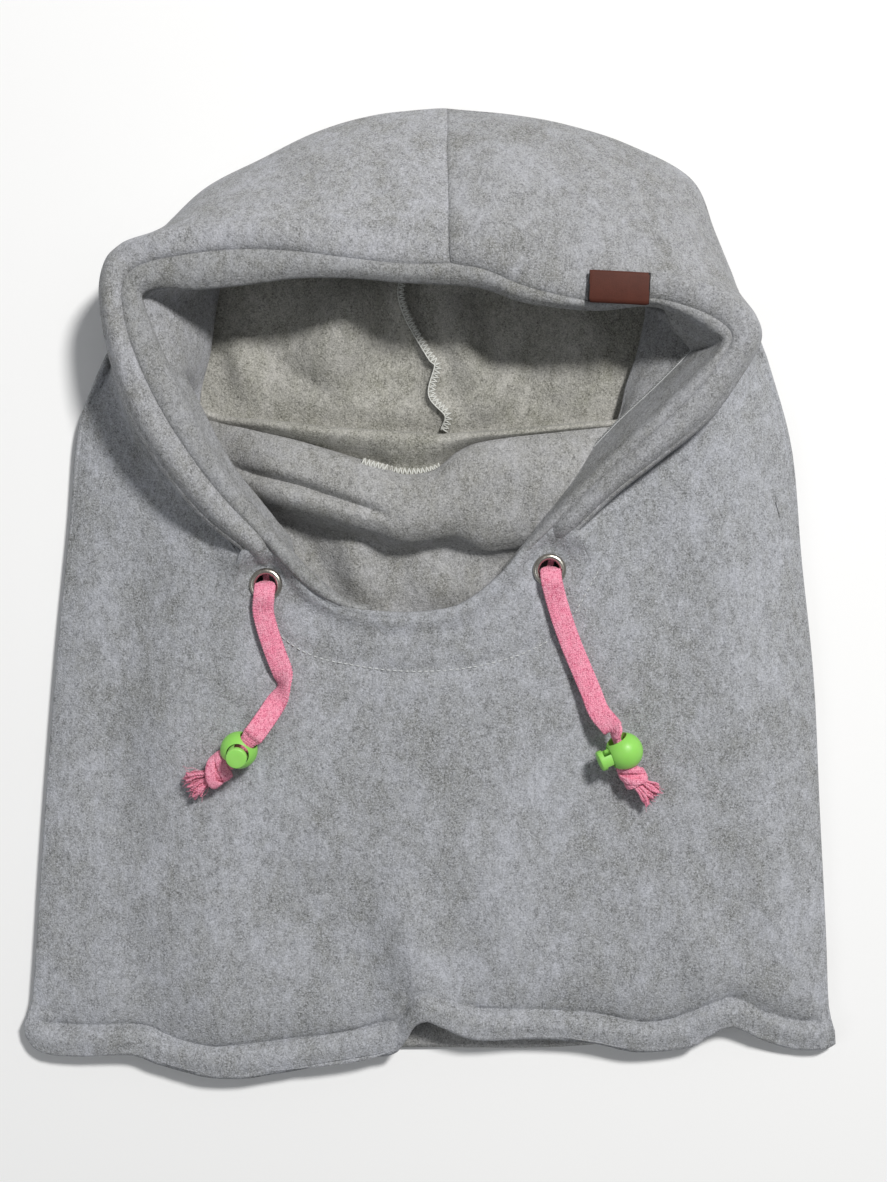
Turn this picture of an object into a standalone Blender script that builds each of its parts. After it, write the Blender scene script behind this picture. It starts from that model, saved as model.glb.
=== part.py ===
"""Fleece hood balaclava with a drawcord, lying flat on its back.

Frame: +X to the right, +Y towards the crown, +Z up from the surface it lies on.
Design numbers are in millimetres and become metres when a mesh is made.
"""
import math
import bpy
import bmesh
import numpy as np
from mathutils import Matrix, Vector

# ---------------------------------------------------------------- driving sizes (mm)
FLEECE = 2.2            # thickness of the outer fleece
FACING = 1.8            # thickness of the facing band
FACING_WIDTH = 27.0     # seam to topstitch
CORD_W, CORD_T = 10.0, 3.0        # flat drawcord
BORE_W, BORE_T = 7.4, 3.2         # the cord where it is gathered in a hole
BALL_R = 9.0            # cord lock body
BORE_R = 5.0            # cord hole through the lock
SOCKET_R = 5.3          # socket for the button
BUTTON_R = 5.0
BUTTON_TOP = 13.3       # button head above the lock's centre, at rest
BUTTON_TRAVEL = 4.0
CORD_OFFSET = 1.5       # cord hole's centre, towards the button
EYELET_R = 8.0          # outer radius of the eyelet flange
EYELET_BARREL_R = 5.7
EYELET_HOLE_R = 4.9
SLOPE = 0.055           # rise of the front panel per mm towards the crown
FRONT_Z = 31.0          # height of the front panel's middle surface at Y = 4
EYE_L = (-79.0, 4.0)    # eyelet centres in plan
EYE_R = (58.0, 11.0)
CENTRE = (0.458, 1.411)     # plan centre of the finished garment

MM = 0.001

# ---------------------------------------------------------------- design curves (x, y, z)
# seam between the hood and its facing, from the crown down the left side, past the
# neckline and up the right side
G = [(10, 154, 62), (-14, 154, 62), (-39, 157, 62), (-65, 160, 62), (-89, 161, 61), (-112, 159, 60),
     (-131, 156, 58), (-142, 150, 57), (-145, 138, 57), (-140, 116, 57), (-129, 91, 56), (-113, 65, 53),
     (-97, 44, 48), (-80, 26, 43), (-62, 6, 38), (-44, -6, 35), (-24, -12, 33.5), (-5, -12, 33),
     (15, -8, 33.5), (34, 6, 35), (48, 21, 37), (62, 35, 41), (81, 54, 46), (102, 72, 51), (121, 90, 55),
     (134, 105, 57), (142, 119, 58), (137, 127, 58), (122, 134, 59), (103, 138, 60), (80, 136, 61),
     (61, 139, 62), (43, 144, 62), (26, 151, 62)]
# width of the lip between that seam and the opening, at the same stations
LIP = [8, 7, 8, 10, 14, 14, 12, 9, 9, 11, 12, 11, 10, 7]
LIP_R = [8, 6, 5, 4.5, 4.5, 4.5, 4.5, 4.5, 4.5, 4.5, 4.5, 4.5, 4.5, 4]
# where the hood fabric turns under: the silhouette at the crown, the crease at the sides
FOLD_L = [(10, 239, 9), (-25, 236, 9), (-54, 228, 9), (-83, 214, 9), (-108, 199, 9), (-127, 176, 12),
          (-142, 161, 24), (-154, 157, 34), (-156, 141, 42), (-152, 115, 43), (-143, 86, 42),
          (-127, 59, 40), (-108, 36, 38), (-87.3, 19, 36)]
FOLD_R = [(10, 239, 9), (39, 236, 9), (67, 231, 9), (98, 221, 9), (129, 204, 9), (141, 177, 9),
          (152, 149, 14), (157, 132, 24), (157, 119, 36), (147, 102, 42), (132, 82, 42), (110, 64, 40),
          (88.5, 47, 38), (68.8, 28.2, 36)]
# share of the side cross-section at each station: 0 crown, 1 side
SIDE_L = [0, 0, 0, 0, 0, 0.3, 0.85, 1, 1, 1, 1, 1, 1, 1]
SIDE_R = [0, 0, 0, 0, 0, 0.1, 0.4, 0.75, 1, 1, 1, 1, 1, 1]
# foot of the inner wall
FOOT_L = [(10, 190, 1.1), (-20, 188, 1.1), (-45, 182, 1.1), (-70, 174, 1.1), (-92, 166, 1.1), (-104, 157, 1.1),
          (-106, 150, 2), (-107, 143, 4), (-108, 136, 5), (-110, 119, 5), (-115, 95, 5), (-112, 70, 4),
          (-98, 46, 3), (-83, 28, 3)]
FOOT_R = [(10, 190, 1.1), (30, 188, 1.1), (52, 184, 1.1), (75, 176, 1.1), (98, 166, 1.1), (106, 155, 1.1),
          (107, 145, 2), (107, 138, 4), (106, 128, 5), (103, 116, 5), (98, 102, 5), (94, 86, 4),
          (84, 62, 3), (68, 40, 3)]
# inner end of the hood's back: the centre seam, then the neck seam
BACK_L = [(9, 224, 1.1), (9, 210, 1.1), (9, 194, 1.1), (9, 177, 1.1), (8, 158, 1.1), (7, 139, 1.1),
          (6, 120, 1.1), (5, 98, 1.1), (4, 70, 1.1), (-12, 66, 1.1), (-34, 66, 1.1), (-54, 65, 1.1),
          (-73, 63, 1.1), (-78, 48, 1.1)]
BACK_R = [(10, 224, 1.1), (10, 210, 1.1), (10, 194, 1.1), (10, 177, 1.1), (9, 158, 1.1), (8, 139, 1.1),
          (7, 120, 1.1), (6, 98, 1.1), (5, 70, 1.1), (16, 66, 1.1), (32, 66, 1.1), (48, 65, 1.1),
          (62, 64, 1.1), (64, 50, 1.1)]
# upper edge of the body's front: tucked under the rim at the sides, the neckline between
NECK = [(-150, 112, 31), (-141, 84, 30), (-126, 58, 28), (-106.5, 37.5, 26), (-90.5, 15.8, 34), (-77.5, 22.5, 38.5),
        (-57, 8.5, 35), (-41, -4, 34), (-24, -10, 33.5), (-5, -10, 33), (15, -6, 33.5), (33, 7, 34),
        (46, 21.5, 35), (58.5, 29.5, 36.5), (71.5, 25.5, 34), (87, 48.5, 26), (108.5, 65, 28),
        (130, 80, 30), (145, 100, 30), (155, 116, 24)]
# silhouettes and hem
SIL_L = [(-158, 116, 16), (-165, 102, 12), (-173, 80, 9), (-177, 36, 8), (-183, -24, 8), (-187, -73, 8),
         (-191, -128, 8), (-194, -177, 8), (-200, -220, 7)]
HEM = [(-200, -220, 7), (-192, -226, 9), (-173, -228, 12), (-147, -227, 14), (-132, -232, 15),
       (-112, -237, 16), (-93, -238, 16), (-77, -236, 16), (-56, -233, 16), (-22, -227, 17),
       (-14, -221, 19), (-8, -211, 23), (-1, -208, 25), (6, -211, 24), (23, -218, 20), (52, -218, 18),
       (80, -221, 17), (101, -225, 16), (127, -223, 15), (136, -218, 15), (149, -213, 15), (165, -220, 12),
       (180, -225, 9), (201, -223, 7)]
SIL_R = [(201, -223, 7), (196, -197, 8), (195, -167, 8), (192, -108, 8), (189, -43, 8), (183, 16, 8),
         (178, 71, 8), (167, 110, 10), (160, 127, 15)]
# upper edge of the body's back: the neck seam and, beyond it, the side of the neck
BACK_NECK = [(-157, 106, 6), (-140, 106, 3), (-126, 88, 2), (-119, 62, 2), (-107, 38, 2), (-92, 20, 2),
             (-72, 22, 2), (-61, 42, 2.4), (-47, 58, 3), (-25, 62, 3.4), (3, 62.5, 3.4), (25, 62, 3.4), (42, 58, 3),
             (54, 44, 2.4), (62, 32, 2), (80, 30, 2), (96, 46, 2), (107, 64, 2), (118, 84, 2), (140, 104, 3),
             (163, 108, 6)]
HEM_BACK = [(-200, -219, 4), (-170, -221, 1.1), (-100, -224, 1.1), (-30, -225, 1.1), (0, -225, 1.1),
            (60, -225, 1.1), (120, -222, 1.1), (170, -221, 1.1), (200, -221, 4)]
STITCH = [(-84, -8), (-70, -23), (-56, -31), (-39, -35), (-17, -38), (5, -38), (27, -35), (49, -28), (62, -18)]
LABEL = (89.0, 149.0)   # plan centre of the label
LABEL_SIZE = (28.5, 15.0, 2.6)


# ---------------------------------------------------------------- helpers
def arr(points):
    return np.array(points, dtype=float)


def spline(points, n, closed=False):
    """n points on a Catmull-Rom curve through the given points, evenly spaced in station."""
    p = arr(points)
    m = len(p)
    out = []
    for t in np.linspace(0, m if closed else m - 1, n, endpoint=not closed):
        i = min(int(t), (m if closed else m - 1) - 1)
        f = t - i
        if closed:
            a, b, c, d = p[(i - 1) % m], p[i % m], p[(i + 1) % m], p[(i + 2) % m]
        else:
            b, c = p[i], p[min(i + 1, m - 1)]
            a = p[i - 1] if i > 0 else 2 * b - c
            d = p[i + 2] if i + 2 < m else 2 * c - b
        out.append(0.5 * (2 * b + (c - a) * f + (2 * a - 5 * b + 4 * c - d) * f * f
                          + (3 * b - a - 3 * c + d) * f ** 3))
    return np.array(out)


def even(points, n):
    """n points evenly spaced by length along a polyline."""
    p = arr(points)
    s = np.concatenate([[0], np.cumsum(np.linalg.norm(np.diff(p, axis=0), axis=1))])
    q = np.linspace(0, s[-1], n)
    return np.stack([np.interp(q, s, p[:, k]) for k in range(p.shape[1])], axis=1)


def smoothstep(t):
    t = np.clip(t, 0, 1)
    return t * t * (3 - 2 * t)


def front_plane(y):
    """Height of the front panel's middle surface where it lies level across."""
    return FRONT_Z + SLOPE * (y - EYE_L[1])


def side_x(y):
    """X of the left and right silhouettes at a given Y."""
    l, r = arr(SIL_L), arr(SIL_R)
    xl = np.interp(y, l[::-1, 1], l[::-1, 0])
    xr = np.interp(y, r[:, 1], r[:, 0])
    return xl, xr


def material(name, rgb, rough, metal=0.0):
    m = bpy.data.materials.new(name)
    m.use_nodes = True
    b = m.node_tree.nodes["Principled BSDF"]
    b.inputs["Base Color"].default_value = (*rgb, 1)
    b.inputs["Roughness"].default_value = rough
    b.inputs["Metallic"].default_value = metal
    return m


def add_object(name, verts, faces, mat, smooth=True):
    """An object from points in mm; the garment's plan centre is moved to the origin."""
    me = bpy.data.meshes.new(name)
    v = (np.array(verts, dtype=float) - np.array([CENTRE[0], CENTRE[1], 0.0])) * MM
    me.from_pydata([tuple(p) for p in v], [], [tuple(f) for f in faces])
    me.update()
    ob = bpy.data.objects.new(name, me)
    bpy.context.scene.collection.objects.link(ob)
    me.materials.append(mat)
    if smooth:
        me.shade_smooth()
        me.set_sharp_from_angle(angle=math.radians(40))
    return ob


def grid_faces(rows, cols, flip=False):
    f = []
    for i in range(rows - 1):
        for j in range(cols - 1):
            q = [i * cols + j, i * cols + j + 1, (i + 1) * cols + j + 1, (i + 1) * cols + j]
            f.append(q[::-1] if flip else q)
    return f


def sheet(name, grid, thickness, mat, inset=0.2, flip=False):
    """A closed panel of cloth: a grid of points on its middle surface, given a thickness."""
    g = np.array(grid, dtype=float)
    # the edges draw in a little, so that sewn neighbours keep a gap
    for e, n in ((0, 1), (-1, -2)):
        d = g[n] - g[e]
        g[e] += d / np.linalg.norm(d, axis=1, keepdims=True) * inset
    for e, n in ((0, 1), (-1, -2)):
        d = g[:, n] - g[:, e]
        g[:, e] += d / np.linalg.norm(d, axis=1, keepdims=True) * inset
    rows, cols = g.shape[:2]
    ob = add_object(name, g.reshape(-1, 3), grid_faces(rows, cols, flip), mat)
    s = ob.modifiers.new("thickness", 'SOLIDIFY')
    s.thickness = thickness * MM
    s.offset = 0.0
    s.use_even_offset = False
    return ob


def sweep(name, centres, widths, across, mat, sides=10):
    """A flat oval cord: centre line, (width, thickness) and width direction at each point."""
    c, w, a = arr(centres), arr(widths), arr(across)
    n = len(c)
    verts, faces = [], []
    for i in range(n):
        t = c[min(i + 1, n - 1)] - c[max(i - 1, 0)]
        t /= np.linalg.norm(t)
        u = a[i] - t * np.dot(a[i], t)
        u /= np.linalg.norm(u)
        v = np.cross(t, u)
        for k in range(sides):
            th = 2 * math.pi * (k + 0.5) / sides
            cs, sn = math.cos(th), math.sin(th)
            # a superellipse keeps the flat faces of the tape
            r = (abs(cs) ** 3 + abs(sn) ** 3) ** (-1 / 3)
            verts.append(c[i] + u * cs * r * w[i, 0] / 2 + v * sn * r * w[i, 1] / 2)
    for i in range(n - 1):
        for k in range(sides):
            k2 = (k + 1) % sides
            faces.append((i * sides + k, i * sides + k2, (i + 1) * sides + k2, (i + 1) * sides + k))
    faces.append(tuple(range(sides))[::-1])
    faces.append(tuple((n - 1) * sides + k for k in range(sides)))
    return add_object(name, verts, faces, mat)


def turned(name, profile, frame, mat, seg=28):
    """A ring turned about an axis: closed (radius, height) profile, counter-clockwise."""
    verts, faces = [], []
    m = len(profile)
    o, x, y, z = frame
    for i in range(seg):
        th = 2 * math.pi * i / seg
        d = x * math.cos(th) + y * math.sin(th)
        for r, h in profile:
            verts.append(o + d * r + z * h)
    for i in range(seg):
        i2 = (i + 1) % seg
        for k in range(m):
            k2 = (k + 1) % m
            faces.append((i * m + k, i2 * m + k, i2 * m + k2, i * m + k2))
    return add_object(name, verts, faces, mat)


def lathe_solid(name, profile, frame, mat, seg=28):
    """A solid turned about an axis: open (radius, height) profile from the lower pole to
    the upper pole, both on the axis."""
    o, x, y, z = frame
    verts, faces = [o + z * profile[0][1]], []
    inner = profile[1:-1]
    for i in range(seg):
        th = 2 * math.pi * i / seg
        d = x * math.cos(th) + y * math.sin(th)
        for r, h in inner:
            verts.append(o + d * r + z * h)
    verts.append(o + z * profile[-1][1])
    m = len(inner)
    for i in range(seg):
        i2 = (i + 1) % seg
        a, b = 1 + i * m, 1 + i2 * m
        faces.append((0, b, a))
        for k in range(m - 1):
            faces.append((a + k, b + k, b + k + 1, a + k + 1))
        faces.append((a + m - 1, b + m - 1, len(verts) - 1))
    return add_object(name, verts, faces, mat)


def box_cutter(name, frame, lo, hi):
    o, x, y, z = frame
    verts = [o + x * (hi[0] if i & 1 else lo[0]) + y * (hi[1] if i & 2 else lo[1])
             + z * (hi[2] if i & 4 else lo[2]) for i in range(8)]
    faces = [(0, 2, 3, 1), (4, 5, 7, 6), (0, 1, 5, 4), (2, 6, 7, 3), (0, 4, 6, 2), (1, 3, 7, 5)]
    ob = add_object(name, verts, faces, CUTTER, smooth=False)
    hide_cutter(ob)
    return ob


def rod_cutter(name, frame, r, z0, z1, seg=28):
    ob = lathe_solid(name, [(0, z0), (r, z0), (r, z1), (0, z1)], frame, CUTTER, seg)
    hide_cutter(ob)
    return ob


def hide_cutter(ob):
    ob.hide_render = True
    ob.display_type = 'WIRE'


def cut(ob, cutter):
    b = ob.modifiers.new(cutter.name, 'BOOLEAN')
    b.operation = 'DIFFERENCE'
    b.solver = 'EXACT'
    b.object = cutter


def unit(v):
    v = np.array(v, dtype=float)
    return v / np.linalg.norm(v)


# ---------------------------------------------------------------- start
for o in list(bpy.data.objects):
    bpy.data.objects.remove(o, do_unlink=True)

GREY = (0.36, 0.37, 0.38)
FLEECE_HL = material("fleece_hood_left", GREY, 0.95)
FLEECE_HR = material("fleece_hood_right", (0.37, 0.37, 0.38), 0.95)
FLEECE_BF = material("fleece_front", (0.34, 0.35, 0.37), 0.95)
FLEECE_BB = material("fleece_back", (0.32, 0.32, 0.32), 0.95)
FACE_MAT = material("fleece_facing", (0.35, 0.36, 0.37), 0.95)
THREAD = material("thread", (0.62, 0.63, 0.63), 0.7)
CORD = material("cord_pink", (0.85, 0.22, 0.33), 0.85)
NICKEL = material("nickel", (0.62, 0.60, 0.57), 0.28, 1.0)
LIME = material("lock_lime", (0.22, 0.65, 0.06), 0.38)
SPRING = material("spring_steel", (0.55, 0.55, 0.56), 0.3, 1.0)
LEATHER = material("label_leather", (0.11, 0.035, 0.02), 0.5)
CUTTER = material("cutter", (1, 0, 0), 0.5)


# ---------------------------------------------------------------- hood panels
def hood_grid(seam, fold, side, foot, back, n):
    seam, fold, foot, back = (spline(p, n) for p in (seam, fold, foot, back))
    side = np.interp(np.linspace(0, len(side) - 1, n), np.arange(len(side)), side)
    rows = []
    for g, f, m, w, b in zip(seam, fold, side, foot, back):
        e = f[:2] - g[:2]
        L = np.linalg.norm(e)
        e /= L
        zg, zf = g[2], f[2]
        crown = [(0, zg - 1.5), (min(4, 0.1 * L), zg + 1.5), (min(12, 0.22 * L), zg + 2.5), (0.35 * L, 0.92 * zg), (0.55 * L, 0.76 * zg),
                 (0.75 * L, 0.54 * zg), (0.92 * L, 0.30 * zg), (L, zf), (L - 0.6, 4.4), (L - 4, 1.7),
                 (L - 10, 1.1)]
        flank = [(0, zg - 1.5), (0.18 * L, zg + 1.2), (0.42 * L, zg + 2.2), (0.68 * L, zg + 0.8),
                 (0.88 * L, zg - 3), (0.97 * L, 0.55 * zg + 0.45 * zf), (L, zf + 2.6), (L, zf),
                 (L - 1.5, zf - 4), (L - 5, zf - 6.5), (L - 10, zf - 7.5)]
        row = []
        for (dc, zc), (ds, zs) in zip(crown, flank):
            d, z = dc * (1 - m) + ds * m, zc * (1 - m) + zs * m
            row.append((g[0] + e[0] * d, g[1] + e[1] * d, z))
        q = arr(row[-1])
        row.append(tuple(q * 0.5 + w * 0.5))
        row.append(tuple(w))
        for k in range(1, 5):
            t = k / 4
            p = w * (1 - t) + b * t
            p[2] = 1.1 + (w[2] - 1.1) * max(0, 1 - 3 * t)
            row.append(tuple(p))
        rows.append([(p[0], p[1], max(p[2], 1.25)) for p in row])
    return np.array(rows)


N_HOOD = 17
hood_l = hood_grid(G[:14], FOLD_L, SIDE_L, FOOT_L, BACK_L, N_HOOD)
hood_r = hood_grid([G[0]] + G[:20:-1], FOLD_R, SIDE_R, FOOT_R, BACK_R, N_HOOD)
sheet("hood_left_panel", hood_l, FLEECE, FLEECE_HL, inset=0.35, flip=True)
sheet("hood_right_panel", hood_r, FLEECE, FLEECE_HR, inset=0.35)


# ---------------------------------------------------------------- facing bands
def facing_grid(seam, lip, fold, side, n):
    seam, fold = spline(seam, n), spline(fold, n)
    q = np.linspace(0, len(lip) - 1, n)
    lip = np.interp(q, np.arange(len(lip)), lip)
    side = np.interp(q, np.arange(len(side)), side)
    rows = []
    for g, l, f, m in zip(seam, lip, fold, side):
        e = unit(f[:2] - g[:2])
        zg = g[2]
        crown = [(-2.8, zg - 1.2), (-0.6 * l - 1.5, zg + 0.6), (-l - 1, zg - 1.5), (-l - 1.6, zg - 6),
                 (-l + 0.5, zg - 11), (-1, zg - 13), (10, zg - 14)]
        flank = [(-3.4, zg - 1.2), (-0.6 * l - 1.5, zg + 0.6), (-l - 1, zg - 1.5), (-l - 2.2, zg - 6),
                 (-l - 3, zg - 11), (-l - 4, zg - 14), (-l - 6, zg - 18)]
        if zg < 47:
            flank[-1] = (-l - 5, zg - 16)
        rows.append([(g[0] + e[0] * (dc * (1 - m) + ds * m), g[1] + e[1] * (dc * (1 - m) + ds * m),
                      zc * (1 - m) + zs * m) for (dc, zc), (ds, zs) in zip(crown, flank)])
    return np.array(rows)


sheet("face_facing_left", facing_grid(G[:14], LIP, FOLD_L, SIDE_L, N_HOOD), FACING, FACE_MAT, inset=0.35)
sheet("face_facing_right", facing_grid([G[0]] + G[:20:-1], LIP_R, FOLD_R, SIDE_R, N_HOOD), FACING, FACE_MAT,
      inset=0.35, flip=True)


# ---------------------------------------------------------------- body front
def body_front(x, y):
    xl, xr = side_x(y)
    d = min(x - xl, xr - x)
    g = math.sin(0.5 * math.pi * min(1, max(0, d) / 42)) ** 0.8
    return 8 + (front_plane(y) - 8) * g


def outline(n_side, n_hem):
    l = even(SIL_L, n_side)
    h = even(HEM, n_hem)
    r = even(SIL_R, n_side)
    return np.vstack([l, h[1:-1], r])


N_SIDE, N_HEM = 9, 23
edge = outline(N_SIDE, N_HEM)
n_col = len(edge)
# stations of the neck edge: side, neckline, side
neck = np.vstack([spline(NECK[:5], N_SIDE), spline(NECK[4:15], N_HEM)[1:-1], spline(NECK[14:], N_SIDE)])
DIST = [0, 3, 8, 15, 24]
front = []
for k, s in zip(neck, edge):
    L = np.linalg.norm(s[:2] - k[:2])
    e = (s[:2] - k[:2]) / L
    dist = [d if L > 60 else d * L / 60 for d in DIST]
    rest = np.linspace(dist[-1], L, 7)[1:]
    last = L - 4
    ds = dist + list(rest[:-1]) + [L]
    row = []
    on_hem = s[1] < -200 and abs(s[0]) < 199.9
    for d in ds:
        x, y = k[0] + e[0] * d, k[1] + e[1] * d
        z = body_front(x, y)
        z = k[2] + (z - k[2]) * smoothstep(d / 8)
        z = z + (s[2] - z) * smoothstep(1 - (L - d) / (26 if on_hem else 3))
        for ex, ey in (EYE_L, EYE_R):
            if math.hypot(x - ex, y - ey) < 17 and d > 2:
                z = front_plane(y)
        row.append((x, y, z))
    front.append(row)
front_panel = sheet("body_front_panel", front, FLEECE, FLEECE_BF, inset=0.35)

# ---------------------------------------------------------------- neckline facing
nf = spline(NECK[5:14], 17)
outer = []
for i in range(len(nf)):
    t = nf[min(i + 1, len(nf) - 1)] - nf[max(i - 1, 0)]
    out = unit((t[1], -t[0]))
    if out[1] > 0:
        out = -out
    outer.append(out)
rows = []
for i, (k, o) in enumerate(zip(nf[1:-1], outer[1:-1])):
    row = []
    end = 2.4 if i < 4 or i > 10 else 0.0
    for d, drop in ((1.2, 3.6), (4, 6.9), (9, 7.7), (16, 7.8), (FACING_WIDTH, 7.8)):
        x, y = k[0] + o[0] * d, k[1] + o[1] * d
        row.append((x, y, min(front_plane(y), k[2]) - drop - end * max(0, 1 - d / 9)))
    rows.append(row)
sheet("neckline_facing", rows, FACING, FACE_MAT, inset=0.35)

# ---------------------------------------------------------------- body back
n_x = 25
top = even(BACK_NECK, n_x)
bot = spline(HEM_BACK, n_x)
rows = []
for j in range(n_x):
    a, b = top[j], bot[j]
    u = j / (n_x - 1)
    row = []
    span = a[1] - b[1]
    crest = 20 * max(0.0, 1 - (a[0] / 70.0) ** 2) ** 0.8
    for i, t in enumerate([0, 6, 13, 21, 30, 42, 60, 85, 115, 150, 190, 230]):
        q = min(1.0, t / 230)
        x = a[0] + (b[0] - a[0]) * q
        y = a[1] - span * q
        xl, xr = side_x(y)
        d = max(0.0, min(x - xl, xr - x))
        # a low fold behind the neck, falling to the surface it lies on
        fold = crest * math.sin(math.pi * min(1.0, t / 42.0))
        z = 1.1 + fold + (a[2] - 1.1) * max(0, 1 - t / 18)
        row.append([x, y, z])
    rows.append(row)
rows = np.array(rows)
# the sides follow the silhouette and turn up to meet the front at the side seams
for i in range(rows.shape[1]):
    xl, xr = side_x(rows[0, i, 1])
    rows[0, i, 0], rows[0, i, 2] = xl + 0.6, 4.4
    rows[1, i, 0] = min(rows[1, i, 0], xl + 4.0) if i > 1 else rows[1, i, 0]
    rows[1, i, 2] = 1.5
    xl, xr = side_x(rows[-1, i, 1])
    rows[-1, i, 0], rows[-1, i, 2] = xr - 0.6, 4.4
    rows[-2, i, 0] = max(rows[-2, i, 0], xr - 4.0) if i > 1 else rows[-2, i, 0]
    rows[-2, i, 2] = 1.5
sheet("body_back_panel", rows, FLEECE, FLEECE_BB, inset=0.35)

# ---------------------------------------------------------------- seams and stitching
centre_seam = spline([(-8, 158, 3.6), (-11, 140, 3.6), (-3, 124, 3.6), (4, 110, 3.6), (1, 98, 3.6),
                      (8, 88, 3.6), (6, 78, 3.6)], 21)
sweep("crown_seam_thread", centre_seam, [(4.0, 1.6)] * 21, [(1, 0, 0)] * 21, THREAD, sides=6)
nseam = arr([(x, 64.4 - 0.0004 * x * x, 6.6) for x in np.linspace(-30, 30, 15)])
sweep("neck_seam_thread", nseam, [(3.0, 1.6)] * 15, [(0, 1, 0)] * 15, THREAD, sides=6)
st = spline(STITCH, 33)
face_st = arr([(x, y, front_plane(y) + FLEECE / 2 + 0.62) for x, y in st])
sweep("face_topstitch_thread", face_st, [(0.5, 0.5)] * 33, [(0, 0, 1)] * 33, THREAD, sides=5)

# ---------------------------------------------------------------- drawcord in its tunnel
run = []
gl, fl = spline(G[:14], N_HOOD), spline(FOLD_L, N_HOOD)
gr, fr = spline([G[0]] + G[:20:-1], N_HOOD), spline(FOLD_R, N_HOOD)
ends = np.linspace(0, 1, N_HOOD)
for g, f, q in list(zip(gl, fl, ends))[::-1] + list(zip(gr, fr, ends))[1:]:
    e = f[:2] - g[:2]
    L = np.linalg.norm(e)
    d = min(0.34 * L, 6.0)
    p = g[:2] + e / L * d
    drop = 5.6 + 3.0 * math.exp(-((L - 14) / 6) ** 2) * (g[2] > 54)
    drop += smoothstep((q - 0.9) / 0.1) * (g[2] - drop - (32.7 if g[0] > 0 else 32.1))
    run.append((p[0], p[1], g[2] - drop))
zl, zr = front_plane(EYE_L[1]), front_plane(EYE_R[1])
lead_l = [(EYE_L[0], EYE_L[1], zl - 3.9), (-79.5, 9, zl - 3.9), (-80.2, 15, zl - 3.6), (-80.8, 19.3, zl - 2.6)]
lead_r = [(63.2, 29.5, zr - 0.6), (61.5, 25, zr - 3.0), (60, 19, zr - 3.9), (EYE_R[0], EYE_R[1], zr - 3.9)]
N_RUN = 57
run = spline(lead_l + run + lead_r, N_RUN)
side_dir = [tuple(np.cross(run[min(i + 1, N_RUN - 1)] - run[max(i - 1, 0)], (0, 0, 1))) for i in range(N_RUN)]
sweep("drawcord_casing_run", run, [(3.1, 2.0)] * 10 + [(4.0, 2.5)] * (N_RUN - 20) + [(3.1, 2.0)] * 10, side_dir, CORD, sides=6)


# ---------------------------------------------------------------- eyelets
def panel_frame(centre):
    """Origin on the front panel's outer face; z is the panel's normal."""
    z = unit((0, -SLOPE, 1))
    x = np.array([1.0, 0, 0])
    y = np.cross(z, x)
    o = np.array([centre[0], centre[1], front_plane(centre[1])]) + z * FLEECE / 2
    return o, x, y, z


for tag, centre in (("left", EYE_L), ("right", EYE_R)):
    fr_ = panel_frame(centre)
    t = FLEECE
    cutter = rod_cutter("hole_cutter_" + tag, fr_, EYELET_BARREL_R + 0.4, -t - 2, 2)
    cut(front_panel, cutter)
    r0, r1, R = EYELET_HOLE_R, EYELET_BARREL_R, EYELET_R
    # flange over the cloth, barrel through it, flare under the washer
    prof = [(r0, -t - 1.5), (r1 + 0.7, -t - 1.75), (r1 + 0.75, -t - 1.35), (r1, -t - 1.1), (r1, 0.35), (R - 0.2, 0.35),
            (R, 0.8), (R - 0.7, 1.55), (R - 1.7, 1.95), (r1 + 0.2, 1.7), (r0 + 0.15, 1.1), (r0, 0.4)]
    turned("eyelet_" + tag, prof, fr_, NICKEL, seg=22)
    turned("eyelet_washer_" + tag, [(r1 + 0.3, -t - 0.9), (R, -t - 0.9), (R, -t - 0.4), (r1 + 0.3, -t - 0.4)],
           fr_, NICKEL, seg=20)


# ---------------------------------------------------------------- cord ends, locks and buttons
def to_world(frame, p):
    o, x, y, z = frame
    return o + x * p[0] + y * p[1] + z * p[2]


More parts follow.
